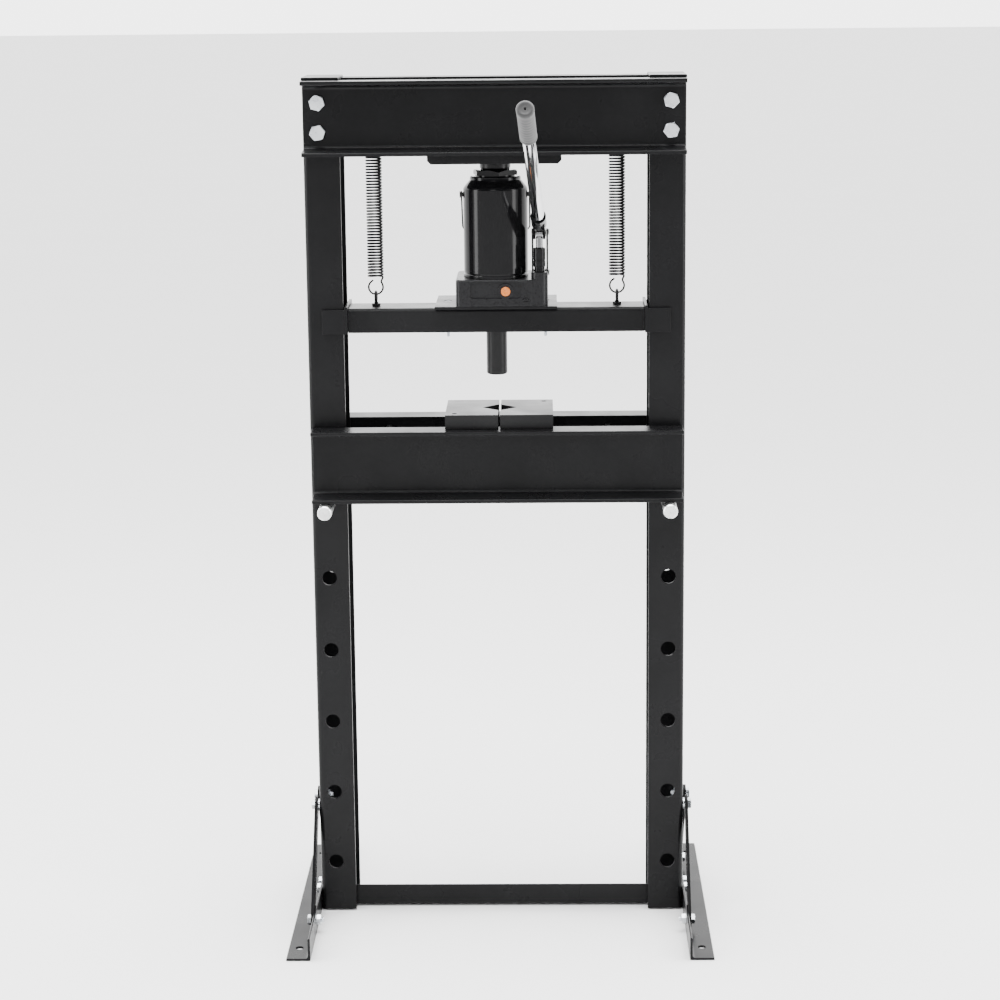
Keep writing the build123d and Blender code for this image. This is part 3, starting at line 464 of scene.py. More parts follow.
def dressed(
    data: bpy.types.Mesh, name: str, body: str, slot: str, replaced: tuple[str, ...],
) -> bpy.types.Object:
    """Gives a mesh its shading, material and body.

    Args:
        data: The mesh, in place.
        name: The piece's name.
        body: The CAD body that carries it.
        slot: The record's material slot.
        replaced: CAD nodes that it stands for.

    Returns:
        The piece.
    """
    data.shade_smooth()
    data.set_sharp_from_angle(angle=CREASE)
    data.materials.append(Paintshop.material(slot))
    made = bpy.data.objects.new(name, data)
    bpy.context.scene.collection.objects.link(made)
    weighted = made.modifiers.new("even_flats", "WEIGHTED_NORMAL")
    weighted.keep_sharp = True
    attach(made, body)
    if replaced:
        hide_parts(*replaced)
    LOG.info("%s on %s, %d faces", name, body, len(data.polygons))
    return made


def spun(outline: Outline, steps: int = 64, closed: bool = False) -> Form:
    """A turned shape about +Z.

    Args:
        outline: Points of radius and height, in metres.
        steps: Faces round the shape.
        closed: Whether the outline ends where it starts, as on a ring.

    Returns:
        The form.
    """
    form = Form()
    points = [form.mesh.verts.new((radius, 0.0, height)) for radius, height in outline]
    pairs = list(zip(points, points[1:] + points[:1] if closed else points[1:]))
    lines = [form.mesh.edges.new(pair) for pair in pairs]
    bmesh.ops.spin(
        form.mesh, geom=points + lines, axis=UP, cent=(0, 0, 0), angle=math.tau, steps=steps, use_merge=True
    )
    bmesh.ops.remove_doubles(form.mesh, verts=form.mesh.verts, dist=0.000002)
    bmesh.ops.recalc_face_normals(form.mesh, faces=form.mesh.faces)
    return form


def shaft(radius: float, length: float, chamfer: float, steps: int = 32) -> Form:
    """A round bar from the origin along +Z, with both rims chamfered."""
    inner = radius - chamfer
    outline = [(0, 0), (inner, 0), (radius, chamfer), (radius, length - chamfer), (inner, length)]
    return spun([*outline, (0, length)], steps)


def hexagon(across: float, height: float, hole: float = 0.0, both_ends: bool = False) -> Form:
    """A hexagon head or nut from the origin along +Z, with its corners turned off.

    Args:
        across: Distance across the flats.
        height: Its height.
        hole: Radius of its hole, or 0 for none.
        both_ends: Whether the lower corners are turned off too.

    Returns:
        The form.
    """
    form = Form()
    reach = across / math.sqrt(3.0)
    middle = Matrix.Translation((0, 0, height / 2))
    bmesh.ops.create_cone(
        form.mesh, cap_ends=True, segments=6, radius1=reach, radius2=reach, depth=height, matrix=middle
    )
    for level, facing in ((height, 1), (0.0, -1))[: 2 if both_ends else 1]:
        for degrees in range(0, 360, CORNER_STEP):
            turn = math.radians(degrees)
            if abs((math.degrees(turn) - 30) % 60 - 30) < CORNER_SPAN:
                continue
            out = Vector((math.cos(turn), math.sin(turn), 0.0))
            normal = out * math.sin(CORNER_SLOPE) + UP * facing * math.cos(CORNER_SLOPE)
            whole = form.mesh.verts[:] + form.mesh.edges[:] + form.mesh.faces[:]
            point = out * across * CORNER_REACH + UP * level
            bmesh.ops.bisect_plane(form.mesh, geom=whole, plane_co=point, plane_no=normal, clear_outer=True)
            rim = [edge for edge in form.mesh.edges if edge.is_boundary]
            bmesh.ops.holes_fill(form.mesh, edges=rim, sides=0)
    if hole:
        thickness = 0.12 * hole
        rim = hole + thickness
        collar = [(hole, -0.00001), (rim, -0.00001), (rim, height + 0.0002), (hole, height)]
        form.add(spun(collar, 32, closed=True))
    return form


def thread(radius: float, pitch: float, length: float) -> Form:
    """A threaded rod from the origin along +Z, cut to a length."""
    core = radius - 0.6 * pitch
    form = shaft(core, length, pitch / 3, 24)
    ridge = Form()
    low = ridge.mesh.verts.new((core * 0.97, 0.0, 0.0))
    crest = ridge.mesh.verts.new((radius, 0.0, pitch / 2))
    high = ridge.mesh.verts.new((core * 0.97, 0.0, pitch * 0.98))
    start = ridge.mesh.faces.new((low, crest, high))
    per_turn = 20
    steps = int(per_turn * (length / pitch - 1.2))
    bmesh.ops.spin(
        ridge.mesh,
        geom=[start, *start.edges, *start.verts],
        axis=UP,
        cent=(0, 0, 0),
        dvec=(0, 0, pitch / per_turn),
        angle=math.tau * steps / per_turn,
        steps=steps,
        use_duplicate=False,
    )
    bmesh.ops.recalc_face_normals(ridge.mesh, faces=ridge.mesh.faces)
    return form.add(ridge)


def weld(start: Vector, end: Vector, radius: float) -> Form:
    """A weld bead of overlapping ripples between two points."""
    form = Form()
    run = end - start
    count = max(2, int(run.length / (radius * 0.8)))
    along = towards(start, run)
    for step in range(count + 1):
        spot = Matrix.Translation((0, 0, run.length * step / count))
        ripple = along @ spot @ Matrix.Diagonal((1, 1, 0.8, 1))
        bmesh.ops.create_uvsphere(form.mesh, u_segments=12, v_segments=8, radius=radius, matrix=ripple)
    return form


def islands(node: str) -> list[tuple[Vector, Vector]]:
    """Lowest and highest corners of each separate solid of a CAD node."""
    form = bmesh.new()
    form.from_mesh(frame["nodes"][node].data)
    bmesh.ops.remove_doubles(form, verts=form.verts, dist=MERGE)
    waiting = set(form.verts)
    boxes = []
    while waiting:
        reached = [waiting.pop()]
        for vertex in reached:
            for edge in vertex.link_edges:
                other = edge.other_vert(vertex)
                if other in waiting:
                    waiting.discard(other)
                    reached.append(other)
        places = [vertex.co for vertex in reached]
        lowest = Vector(min(place[axis] for place in places) for axis in range(3))
        highest = Vector(max(place[axis] for place in places) for axis in range(3))
        boxes.append((lowest, highest))
    form.free()
    return sorted(boxes, key=lambda box: tuple(round(value, 5) for value in box[0]))


class Carried:
    """CAD nodes that keep their shape, with their edges rounded as the real ones are."""

    bodies = {node: body for body, nodes in frame["record"]["behaviour"]["bodies"].items() for node in nodes}
    slots = {entry["node"]: entry["material_slot"] for entry in frame["record"]["subparts"]}

    @classmethod
    def show(cls, node: str, width: float, segments: int = 2) -> bpy.types.Object:
        """Shows one node with rounded edges.

        Args:
            node: The CAD node.
            width: Width of the rounding, in metres.
            segments: Faces across it.

        Returns:
            The piece.
        """
        form = Form.of_node(node).rounded(width, segments)
        return form.piece(f"{node}_finished", cls.bodies[node], cls.slots[node], (node,))

    @classmethod
    def stand_in(cls, form: Form, node: str) -> bpy.types.Object:
        """Shows a form of its own in place of one node."""
        return form.piece(f"{node}_finished", cls.bodies[node], cls.slots[node], (node,))


@dataclass
class Fastener:
    """Hexagon bolts or nuts of one size."""

    radius: float
    across: float
    head: float
    nut: float
    pitch: float

    def bolt(self, length: float) -> Form:
        """A bolt whose head starts at the origin and points along +Z, with its shank below.

        Args:
            length: Length of the shank.

        Returns:
            The form.
        """
        form = hexagon(self.across, self.head)
        rim = self.across * 0.47
        washer = spun([(0, -0.0001), (rim, -0.0001), (rim, 0.0004), (0, 0.0004)], 40)
        form.add(washer)
        plain = length - self.nut - self.radius
        form.add(shaft(self.radius * 0.97, plain, 0.0001, 24), Matrix.Translation((0, 0, -plain)))
        rod = thread(self.radius, self.pitch, length - plain)
        return form.add(rod, towards(Vector((0, 0, -plain)), -UP))

    def row(self, node: str, axis: int, turn: tuple[float, float]) -> None:
        """Shows every bolt of a node.

        Args:
            node: The CAD node with the bolts.
            axis: 0 for bolts along X and 1 for bolts along Y.
            turn: Degrees that the lower and the upper heads are turned by.
        """
        whole = Form()
        boxes = islands(node)
        middle = sum(box[0].z for box in boxes) / len(boxes)
        for lowest, highest in boxes:
            centre = (lowest + highest) / 2
            outward = 1 if centre[axis] > 0 else -1
            tip = highest[axis] if outward > 0 else lowest[axis]
            centre[axis] = tip - outward * self.head
            facing = Vector((0, 0, 0))
            facing[axis] = outward
            degrees = turn[0] if lowest.z < middle else turn[1]
            place = towards(centre, facing, Vector((0, 1, 0)) if axis == 0 else Vector((1, 0, 0)))
            length = highest[axis] - lowest[axis] - self.head
            whole.add(self.bolt(length), place @ Matrix.Rotation(math.radians(degrees), 4, "Z"))
        Carried.stand_in(whole, node)

    def nuts(self, node: str, axis: int) -> None:
        """Shows every nut of a node, lying along an axis."""
        whole = Form()
        for lowest, highest in islands(node):
            centre = (lowest + highest) / 2
            centre[axis] = lowest[axis]
            facing = Vector((0, 0, 0))
            facing[axis] = 1
            height = highest[axis] - lowest[axis]
            flats = Vector((0, 0, 1)) if axis == 1 else Vector((0, 1, 0))
            form = hexagon(self.across, height, self.radius + 0.0002, True)
            whole.add(form, towards(centre, facing, flats))
        Carried.stand_in(whole, node)


@dataclass
class Uprights:
    """Posts, caps, top beams, feet, braces and cross member."""

    edge: float = 0.0007
    sheet_edge: float = 0.0005
    bead: float = 0.0017

    def build(self) -> None:
        """Builds the bolted frame."""
        for side, _ in SIDES:
            for node in (f"post_{side}", f"cap_{side}", f"foot_{side}"):
                Carried.show(node, self.sheet_edge)
            for end, _ in ENDS:
                Carried.show(f"brace_{side}_{end}", self.edge)
        for end, _ in ENDS:
            Carried.show(f"top_beam_{end}", self.edge)
        for node in ("top_plate", "cross_member", "spring_rods", "brace_spacers"):
            Carried.show(node, self.edge)
        self.welds()
        self.fasteners()

    def welds(self) -> None:
        """Beads that join the cross member to its end plates."""
        beads = Form()
        lowest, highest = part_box("cross_member")
        for sign in (-1, 1):
            plate = sign * (highest.x - 0.005)
            level = lowest.z + 0.004
            front = Vector((plate, lowest.y + 0.0315, level))
            along = [Vector((plate, front.y + shift, level)) for shift in (0.004, 0.034)]
            beads.add(weld(*along, self.bead))
            beads.add(weld(front + UP * 0.004, front + UP * 0.032, self.bead))
        beads.piece("cross_member_welds", "frame", "black_paint")

    def fasteners(self) -> None:
        """Bolts and nuts of the frame."""
        large = Fastener(0.008, 0.024, 0.01, 0.013, 0.002)
        large.row("beam_bolts", 1, (-20.0, -45.0))
        large.nuts("beam_nuts", 1)
        small = Fastener(0.005, 0.016, 0.0064, 0.008, 0.0015)
        small.row("foot_bolts", 0, (0.0, 0.0))
        small.row("brace_bolts", 0, (15.0, 42.0))
        small.nuts("foot_nuts", 0)
        small.nuts("brace_nuts", 0)


@dataclass
class Bed:
    """Movable bed, its pins and the two notched plates on it."""

    edge: float = 0.0007
    plate_edge: float = 0.0011
    pin_chamfer: float = 0.002
    centre_mark: float = 0.0022

    def build(self) -> None:
        """Builds the bed and all that lies on or under it."""
        for end, _ in ENDS:
            Carried.show(f"bed_beam_{end}", self.edge)
        for side, _ in SIDES:
            Carried.show(f"bed_spacer_{side}", self.edge)
            Carried.show(f"arbor_plate_{side}", self.plate_edge, 3)
            self.pin(f"bed_pin_{side}")
        self.welds()

    def pin(self, node: str) -> None:
        """A turned pin with chamfered ends and the centre marks of its turning."""
        lowest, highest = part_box(node)
        radius = (highest.z - lowest.z) / 2
        length = highest.y - lowest.y
        rim = radius - self.pin_chamfer
        mark = self.centre_mark
        outline = [(0, mark * 0.8), (mark, 0), (rim, 0), (radius, self.pin_chamfer)]
        far = [(across, length - along) for across, along in reversed(outline)]
        start = Vector(((lowest.x + highest.x) / 2, lowest.y, (lowest.z + highest.z) / 2))
        Carried.stand_in(Form().add(spun(outline + far, 72), towards(start, Vector((0, 1, 0)))), node)

    def welds(self) -> None:
        """Beads that join the spacers to the channels' webs."""
        beads = Form()
        for side, _ in SIDES:
            lowest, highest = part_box(f"bed_spacer_{side}")
            for y in (lowest.y, highest.y):
                for x in (lowest.x, highest.x):
                    foot = Vector((x, y * 0.985, lowest.z + 0.004))
                    beads.add(weld(foot, foot + UP * (highest.z - lowest.z - 0.008), 0.0021))
        beads.piece("bed_welds", "bed", "black_paint")


@dataclass
class Crossbar:
    """Sprung crossbar with its guides, jack plate, press pin and eye bolts."""

    edge: float = 0.0006
    plate_edge: float = 0.0008
    bead: float = 0.0018
    nose: float = 0.003
    eye_radius: float = 0.004
    eye_pitch: float = 0.00125

    def build(self) -> None:
        """Builds the crossbar and what is fixed to it."""
        Carried.show("crossbar", self.edge)
        Carried.show("jack_plate", self.plate_edge)
        for side, _ in SIDES:
            Carried.show(f"guide_{side}", self.edge)
            self.eye(f"eye_bolt_{side}")
        Fastener(self.eye_radius, 0.013, 0.0, 0.0045, self.eye_pitch).nuts("eye_nuts", 2)
        self.plate_screws()
        self.press_pin()
        self.welds()

    def eye(self, node: str) -> None:
        """A ring on a threaded shank."""
        lowest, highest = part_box(node)
        wire = (highest.x - lowest.x) / 2 if highest.x - lowest.x < 0.006 else 0.0025
        ring = (highest.y - lowest.y) / 2 - wire
        centre = Vector(((lowest.x + highest.x) / 2, 0.0, highest.z - ring - wire))
        section = [
            (ring + wire * math.cos(math.radians(turn)), wire * math.sin(math.radians(turn)))
            for turn in (22.5 * step for step in range(16))
        ]
        form = Form().add(spun(section, 56, closed=True), towards(centre, Vector((1, 0, 0))))
        neck = centre.z - ring - wire * 0.4
        shank = thread(self.eye_radius, self.eye_pitch, neck - lowest.z - self.eye_radius)
        form.add(shank, towards(Vector((centre.x, 0, neck - self.eye_radius)), -UP))
        form.add(shaft(0.0036, 0.0052, 0.0004, 24), towards(Vector((centre.x, 0, neck + 0.0008)), -UP))
        Carried.stand_in(form, node)

    def plate_screws(self) -> None:
        """Socket screws of the jack plate, with their nuts under the web."""
        form = Form()
        for lowest, highest in islands("jack_plate_screws"):
            centre = (lowest + highest) / 2
            if highest.z - lowest.z < 0.01:
                place = Matrix.Translation((centre.x, centre.y, lowest.z))
                form.add(hexagon(0.01, highest.z - lowest.z, 0.0032, True), place)
                continue
            head = Vector((centre.x, centre.y, highest.z - 0.0028))
            socket = [
                (0, 0.0012), (0.0026, 0.0014), (0.0029, 0.0026), (0.0046, 0.0028), (0.0055, 0.002),
                (0.0055, 0),
            ]
            form.add(spun([*socket, (0, 0)], 40), Matrix.Translation(head))
            form.add(thread(0.003, 0.001, head.z - lowest.z), towards(head, -UP))
        Carried.stand_in(form, "jack_plate_screws")

    def press_pin(self) -> None:
        """The pin that presses: turned, with a soft nose and a faint groove above it."""
        lowest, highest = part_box("press_pin")
        radius = (highest.x - lowest.x) / 2
        length = highest.z - lowest.z
        arc = [math.radians(15 * step) for step in range(7)]
        corner = [
            (radius - self.nose + self.nose * math.sin(turn), length - self.nose + self.nose * math.cos(turn))
            for turn in arc
        ]
        groove = length - 0.012
        outline = [
            (0, length), *corner, (radius, groove), (radius - 0.0004, groove - 0.0005),
            (radius - 0.0004, groove - 0.0015), (radius, groove - 0.002), (radius, 0), (0, 0),
        ]
        start = Vector(((lowest.x + highest.x) / 2, (lowest.y + highest.y) / 2, highest.z))
        Carried.stand_in(Form().add(spun(outline, 80), towards(start, -UP)), "press_pin")

    def welds(self) -> None:
        """Beads round the crossbar's ends and the press pin's root."""
        beads = Form()
        lowest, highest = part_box("crossbar")
        for x in (lowest.x, highest.x):
            for y in (lowest.y, highest.y):
                foot = Vector((x, y * 0.99, lowest.z + 0.003))
                beads.add(weld(foot, foot + UP * (highest.z - lowest.z - 0.011), self.bead))
        web = highest.z - 0.0052
        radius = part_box("press_pin")[1].x + 0.0004
        steps = 40
        for step in range(steps):
            turn = math.tau * step / steps
            spot = Matrix.Translation((radius * math.cos(turn), radius * math.sin(turn), web))
            bmesh.ops.create_uvsphere(beads.mesh, u_segments=10, v_segments=6, radius=0.0028, matrix=spot)
        beads.piece("crossbar_welds", "carrier", "black_paint")


@dataclass
class BottleJack:
    """Bottle jack with its base, tank, packing nut, ram, saddle, plug, valve and carrying bail."""

    collar: float = 0.044
    rim: float = 0.0015
    bore: float = 0.0222
    nut_across: float = 0.0705
    nut_turn: float = 10.0
    nut_foot: float = 0.0342

    def build(self) -> None:
        """Builds the jack."""
        Carried.show("jack_base", 0.0014, 3)
        self.tank()
        self.packing_nut()
        self.ram()
        self.plug()
        for node in ("release_valve", "jack_cylinder", "bail", "bail_pivots"):
            Carried.show(node, 0.0003)

    def tank(self) -> None:
        """The oil tank: a rolled skirt at the foot, a soft shoulder and a collar."""
        lowest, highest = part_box("jack_tank")
        radius = (highest.x - lowest.x) / 2
        foot, top = lowest.z, highest.z
        shoulder = top - 0.007
        bend = top - 0.0185
        outline = [
            (0.031, foot), (radius - 0.0006, foot), (radius, foot + 0.0006), (radius, foot + 0.0052),
            (radius - 0.0011, foot + 0.0062), (radius - 0.0011, foot + 0.0078),
            (radius - 0.0003, foot + 0.0092), (radius - 0.0003, bend - 0.004),
            (radius - 0.0009, bend - 0.001), (radius - 0.0026, bend + 0.0014),
            (self.collar + 0.0022, shoulder - 0.0014), (self.collar + 0.0006, shoulder),
            (self.collar, shoulder + 0.0012), (self.collar, top - self.rim), (self.collar - self.rim, top),
            (0.0223, top), (0.0223, shoulder - 0.004), (0.04, shoulder - 0.004),
            (radius - 0.004, bend - 0.003), (radius - 0.004, foot + 0.004), (0.031, foot + 0.004),
        ]
        Carried.stand_in(spun(outline, 96, closed=True), "jack_tank")

    def packing_nut(self) -> None:
        """The hexagon that closes the tank, on a round collar."""
        lowest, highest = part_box("packing_nut")
        height = highest.z - lowest.z - 0.002
        form = hexagon(self.nut_across, height)
        turned = Matrix.Rotation(math.radians(self.nut_turn), 4, "Z")
        form.mesh.transform(Matrix.Translation((0, 0, highest.z - height)) @ turned)
        bore, foot, top = self.bore, self.nut_foot, highest.z
        rise = lowest.z + 0.0025
        low = [(bore, lowest.z), (foot, lowest.z), (foot, rise), (bore, rise)]
        form.add(spun(low, 64, closed=True))
        lip = [(bore, top - 0.003), (bore + 0.004, top - 0.003), (bore + 0.004, top), (bore, top)]
        form.add(spun(lip, 64, closed=True))
        Carried.stand_in(form, "packing_nut")

    def ram(self) -> None:
        """The ground ram and the ribbed saddle on its top."""
        lowest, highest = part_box("jack_ram")
        form = shaft((highest.x - lowest.x) / 2, highest.z - lowest.z, 0.001, 64)
        Carried.stand_in(Form().add(form, Matrix.Translation((0, 0, lowest.z))), "jack_ram")
        lowest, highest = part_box("ram_saddle")
        radius = (highest.x - lowest.x) / 2
        height = highest.z - lowest.z
        outline = [
            (0, 0), (radius - 0.002, 0), (radius, 0.002), (radius, height - 0.0042),
            (radius - 0.0009, height - 0.0036), (radius - 0.0009, height - 0.0028),
            (radius, height - 0.0022), (radius, height - 0.001), (radius - 0.001, height),
        ]
        for ring in (0.8, 0.6, 0.4, 0.2):
            outline += [
                (radius * ring + 0.0008, height), (radius * ring, height - 0.0008),
                (radius * ring - 0.0008, height),
            ]
        outline += [(0, height)]
        Carried.stand_in(Form().add(spun(outline, 80), Matrix.Translation((0, 0, lowest.z))), "ram_saddle")

    def plug(self) -> None:
        """The filler plug: a soft button with a dished middle, in a raised rim."""
        lowest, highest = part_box("filler_plug")
        radius = (highest.z - lowest.z) / 2
        length = highest.y - lowest.y
        outline = [
            (0, length - 0.0007), (0.0034, length - 0.0006), (0.0044, length), (0.0056, length),
            (0.0072, length - 0.0006), (radius, length - 0.0018), (radius, length - 0.003),
            (radius - 0.0001, length - 0.0032), (radius - 0.0001, 0), (0, 0),
        ]
        start = Vector(((lowest.x + highest.x) / 2, highest.y, (lowest.z + highest.z) / 2))
        Carried.stand_in(Form().add(spun(outline, 56), towards(start, Vector((0, -1, 0)))), "filler_plug")


@dataclass
class PumpGear:
    """Hand pump, its links and pins, and the lever with its handle."""

    grip_flutes: int = 9
    tube: float = 0.0105
    tube_bore: float = 0.0087
    grip: float = 0.0138
    grip_length: float = 0.132

    def build(self) -> None:
        """Builds the pump, the lever and the handle."""
        for node in ("pump_piston", "pump_links"):
            Carried.show(node, 0.0003)
        Carried.show("handle_socket", 0.0006)
        for node in ("piston_pin", "fulcrum_pin", "link_foot_pin"):
            Carried.show(node, 0.0005)
        self.pump_body()
        self.handle()

    def pump_body(self) -> None:
        """The pump's barrel with its gland and a grooved neck."""
        lowest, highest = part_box("pump_body")
        radius = (highest.x - lowest.x) / 2
        height = highest.z - lowest.z
        outline = [
            (0.0059, 0), (0.0088, 0), (0.0092, 0.0006), (0.0092, 0.0035), (0.0084, 0.0042),
            (0.0084, 0.0056), (0.0092, 0.0063), (0.0092, 0.009), (radius - 0.0008, 0.009), (radius, 0.0098),
            (radius, 0.019), (radius - 0.0006, 0.0196), (radius - 0.0006, 0.0208), (radius, 0.0214),
            (radius, height - 0.0016), (radius - 0.0016, height), (0.0074, height),
            (0.0068, height - 0.0012), (0.0059, height - 0.0012),
        ]
        middle = (lowest + highest) / 2
        place = Matrix.Translation((middle.x, middle.y, lowest.z))
        Carried.stand_in(Form().add(spun(outline, 64, closed=True), place), "pump_body")

    def handle(self) -> None:
        """The tube and the grip, laid along the line through both."""
        start, direction, length = self.line()
        rim = 0.0003
        tube = [(self.tube_bore, 0), (self.tube - rim, 0), (self.tube, rim), (self.tube, length - 0.005)]
        tube += [(self.tube_bore, length - 0.005)]
        place = towards(start, direction)
        Carried.stand_in(Form().add(spun(tube, 72, closed=True), place), "handle_tube")
        foot = length - self.grip_length
        outer = self.grip
        outline = [
            (self.tube + 0.0001, foot), (outer - 0.0012, foot), (outer - 0.0002, foot + 0.001),
            (outer, foot + 0.003), (outer, foot + 0.008), (outer - 0.0006, foot + 0.0092),
        ]
        pitch = (self.grip_length - 0.03) / self.grip_flutes
        for flute in range(self.grip_flutes):
            level = foot + 0.0112 + pitch * flute
            outline += [
                (outer - 0.0007, level), (outer - 0.0003, level + pitch * 0.25),
                (outer - 0.0003, level + pitch * 0.75), (outer - 0.0007, level + pitch * 0.97),
            ]
        outline += [
            (outer - 0.0005, length - 0.0105), (outer, length - 0.009), (outer, length - 0.004),
            (outer - 0.0008, length - 0.0018), (outer - 0.0024, length - 0.0003), (outer - 0.0042, length),
            (outer - 0.006, length - 0.0004), (outer - 0.0075, length - 0.001), (0.0026, length - 0.001),
            (0.0018, length - 0.0018), (0.0018, length - 0.0048), (self.tube + 0.0001, length - 0.0048),
        ]
        Carried.stand_in(Form().add(spun(outline, 72, closed=True), place), "handle_grip")

    def line(self) -> tuple[Vector, Vector, float]:
        """Foot, direction and length of the handle, read from its tube and grip.

        Returns:
            The middle of the tube's lower end, the direction along it, and the distance to the grip's end.
        """
        points = [vertex.co for vertex in frame["nodes"]["handle_tube"].data.vertices]
        low = min(points, key=lambda point: point.z)
        axis = self.direction(points)
        reach = [(point - low).dot(axis) for point in points]
        near = [point for point, along in zip(points, reach) if along < min(reach) + 0.0005]
        start = sum(near, Vector()) / len(near)
        tips = frame["nodes"]["handle_grip"].data.vertices
        return start, axis, max((tip.co - start).dot(axis) for tip in tips)

    @staticmethod
    def direction(points: list[Vector]) -> Vector:
        """Direction from the middle of the low end of a straight tube to the middle of its high end."""
        axis = Vector((0.0, -1.0, 0.4)).normalized()
        for _ in range(4):
            reach = [point.dot(axis) for point in points]
            low = [point for point, along in zip(points, reach) if along < min(reach) + 0.002]
            high = [point for point, along in zip(points, reach) if along > max(reach) - 0.002]
            axis = (sum(high, Vector()) / len(high) - sum(low, Vector()) / len(low)).normalized()
        return axis


@dataclass
class ReturnSprings:
    """Wound return springs that stretch between the frame and the crossbar."""

    pitch: float = 0.0051
    per_turn: int = 12
    wire: float = 0.0032
    slack: float = 1.045

    def build(self) -> None:
        """Winds both springs."""
        for side, _ in SIDES:
            self.spring(f"spring_{side}")

    def path(self, centre: Vector, radius: float, low: float, high: float) -> list[Vector]:
        """Centre line of the wire, from the lower hook through the coils to the upper hook.

        Args:
            centre: A point on the spring's axis.
            radius: Radius of the coils' centre line.
            low: Height of the lower hook's middle.
            high: Height of the upper hook's middle.

        Returns:
            The points in order.
        """
        rise = radius * 1.34
        turns = round((high - low - 2 * rise) / self.pitch)
        points = [self.hook(centre, radius, low, turn, -1) for turn in range(-250, 61, 20)]
        count = turns * self.per_turn
        coil = radius * self.slack
        for step in range(count + 1):
            turn = math.tau * step / self.per_turn
            height = low + rise + (high - low - 2 * rise) * step / count
            points.append(
                Vector((centre.x + coil * math.cos(turn), centre.y + coil * math.sin(turn), height))
            )
        points += [self.hook(centre, radius, high, turn, 1) for turn in range(60, -251, -20)]
        return points

    @staticmethod
    def hook(centre: Vector, radius: float, height: float, degrees: float, end: int) -> Vector:
        """One point of a hook, a ring that stands upright across the spring."""
        turn = math.radians(degrees)
        side = radius * math.cos(turn)
        return Vector((centre.x + side, centre.y, height - end * radius * math.sin(turn)))

    def spring(self, node: str) -> None:
        """Winds one spring as a fixed mesh."""
        lowest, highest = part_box(node)
        radius = (highest.x - lowest.x) / 2 - self.wire / 2
        centre = (lowest + highest) / 2
        reach = radius + self.wire / 2
        points = self.path(centre, radius, lowest.z + reach, highest.z - reach)
        line = bpy.data.curves.new(node, "CURVE")
        line.dimensions = "3D"
        line.bevel_depth = self.wire / 2
        line.bevel_resolution = 3
        line.use_fill_caps = True
        spline = line.splines.new("NURBS")
        spline.points.add(len(points) - 1)
        for slot, point in zip(spline.points, points):
            slot.co = (*point, 1.0)
        spline.order_u = 4
        spline.use_endpoint_u = True
        line.resolution_u = 2
        rope = bpy.data.objects.new(node + "_line", line)
        data = bpy.data.meshes.new_from_object(rope)
        data.name = node + "_wound"
        bpy.data.objects.remove(rope)
        data.materials.clear()
        data.shade_smooth()
        data.materials.append(Paintshop.material("spring_steel"))
        made = bpy.data.objects.new(node + "_wound", data)
        bpy.context.scene.collection.objects.link(made)
        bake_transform(made)
        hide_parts(node)
        LOG.info("%s wound, %d faces", node, len(data.polygons))


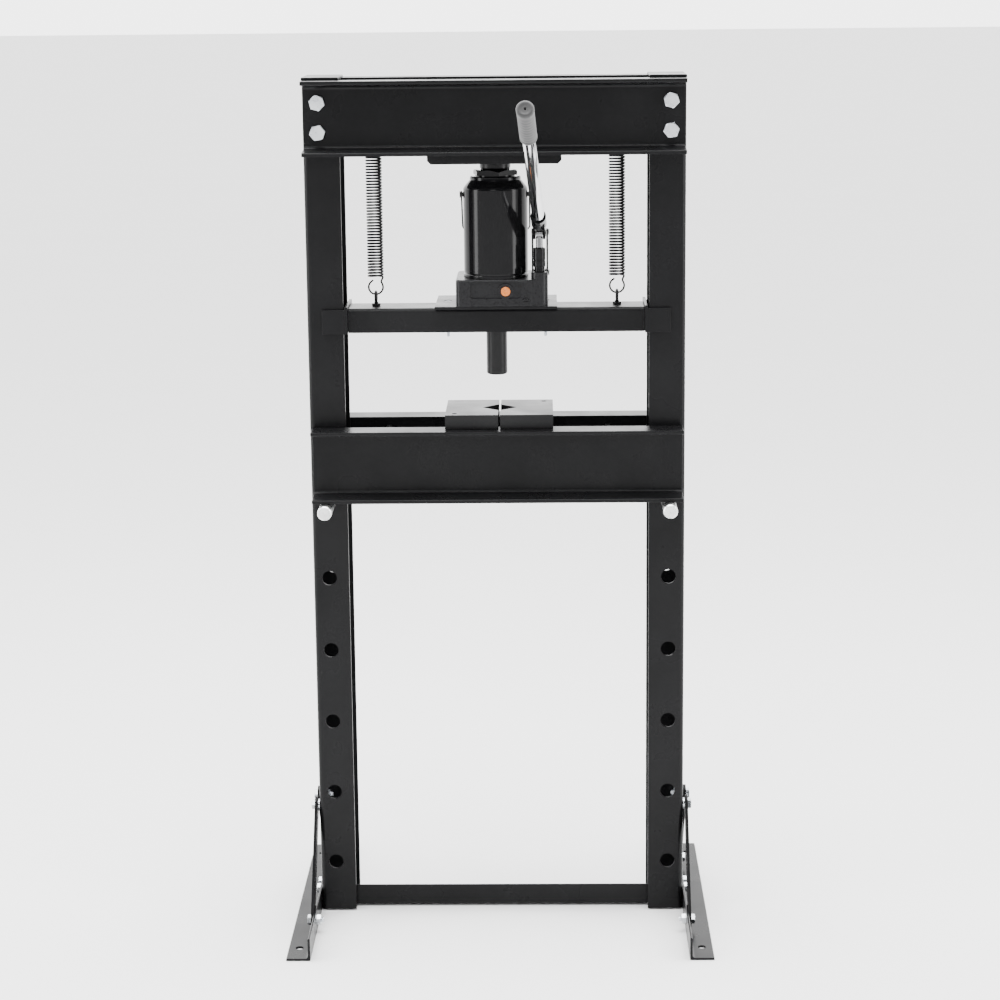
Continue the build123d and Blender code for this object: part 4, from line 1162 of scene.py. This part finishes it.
@dataclass
class Studio:
    """Pale floor, soft light and the camera."""

    floor_size: float = 60.0
    seat: tuple[float, float, float] = (0.0802, -4.15417, 1.67857)
    yaw: float = -0.0184
    pitch: float = 0.1948
    roll: float = -0.0099
    focal: float = 2400.46
    rise: float = -60.0
    frame_side: float = 1000.0
    sensor: float = 36.0
    facing: tuple[float, float] = (-0.6, 0.15)
    glow: tuple[float, float] = (0.1, 4.5)
    upper: tuple[float, float, float] = (0.0, 0.0, 0.8)
    middle: tuple[float, float, float] = (0.0, 0.0, 0.9)

    def build(self) -> None:
        """Sets up the studio."""
        self.floor()
        self.world()
        self.lights()
        self.camera()

    def floor(self) -> None:
        """A wide pale floor with a very faint mottle."""
        form = bmesh.new()
        bmesh.ops.create_grid(form, x_segments=2, y_segments=2, size=self.floor_size)
        data = bpy.data.meshes.new("studio_floor")
        form.to_mesh(data)
        form.free()
        recipe = Recipe("studio_floor", {"Metallic": 0.0})
        mottle = recipe.noise(1.5, 3.0)
        colour = recipe.shade(mottle, (0.86, 0.86, 0.86), (0.9, 0.9, 0.9))
        data.materials.append(
            recipe.finish(colour, recipe.between(mottle, 0.0, 1.0, 0.75, 0.9), mottle, 0.0001)
        )
        ground = bpy.data.objects.new("studio_floor", data)
        ground.location.z = -0.0005
        bpy.context.scene.collection.objects.link(ground)

    def world(self) -> None:
        """White surroundings that are darker on the operator's side, as in a light tent."""
        world = bpy.data.worlds.new("studio")
        world.use_nodes = True
        bpy.context.scene.world = world
        tree = world.node_tree
        place = tree.nodes.new("ShaderNodeTexCoord").outputs["Generated"]
        split = tree.nodes.new("ShaderNodeSeparateXYZ")
        ramp = tree.nodes.new("ShaderNodeMapRange")
        for number, value in enumerate((*self.facing, *self.glow), 1):
            ramp.inputs[number].default_value = value
        tree.links.new(place, split.inputs[0])
        tree.links.new(split.outputs["Y"], ramp.inputs[0])
        tree.links.new(ramp.outputs[0], tree.nodes["Background"].inputs["Strength"])
        tree.nodes["Background"].inputs["Color"].default_value = (1.0, 1.0, 1.0, 1.0)

    def lights(self) -> None:
        """Large soft lamps above, at both sides and in front."""
        self.lamp("overhead", (0.0, -0.4, 3.6), self.upper, (3.2, 2.4), 260.0)
        self.lamp("left", (-3.4, -1.0, 1.7), self.middle, (0.9, 2.8), 90.0)
        self.lamp("right", (3.4, -1.2, 1.7), self.middle, (0.9, 2.8), 80.0)
        self.lamp("front", (-0.6, -4.6, 3.2), self.upper, (1.6, 1.2), 60.0)

    @staticmethod
    def lamp(name: str, place: tuple, aim: tuple, size: tuple[float, float], power: float) -> None:
        """Adds one soft lamp.

        Args:
            name: Its name.
            place: Where it hangs.
            aim: What it points at.
            size: Its width and height.
            power: Its power in watts.
        """
        data = bpy.data.lights.new(name, "AREA")
        data.shape = "RECTANGLE"
        data.size, data.size_y = size
        data.energy = power
        lamp = bpy.data.objects.new(name, data)
        lamp.location = place
        lamp.rotation_euler = (Vector(aim) - Vector(place)).to_track_quat("-Z", "Y").to_euler()
        bpy.context.scene.collection.objects.link(lamp)

    def camera(self) -> None:
        """The camera, at an operator's eye height in front of the press."""
        data = bpy.data.cameras.new("camera")
        data.sensor_width = self.sensor
        data.lens = self.focal / self.frame_side * self.sensor
        data.shift_y = self.rise / self.frame_side
        data.clip_end = 200.0
        eye = bpy.data.objects.new("camera", data)
        ahead = Vector(
            (
                math.sin(self.yaw) * math.cos(self.pitch), math.cos(self.yaw) * math.cos(self.pitch),
                -math.sin(self.pitch),
            )
        )
        level = Vector((math.cos(self.yaw), -math.sin(self.yaw), 0.0))
        above = level.cross(ahead)
        across = level * math.cos(self.roll) + above * math.sin(self.roll)
        upward = across.cross(ahead)
        eye.matrix_world = Matrix.Translation(self.seat) @ Matrix(
            (across, upward, -ahead)
        ).transposed().to_4x4()
        bpy.context.scene.collection.objects.link(eye)
        bpy.context.scene.camera = eye


def main() -> None:
    """Builds the press and its studio."""
    logging.basicConfig(level=logging.INFO, format="%(message)s")
    for part in (Uprights(), Bed(), Crossbar(), BottleJack(), PumpGear(), ReturnSprings(), Studio()):
        LOG.info("building %s", type(part).__name__)
        part.build()


if __name__ == "__main__":
    main()
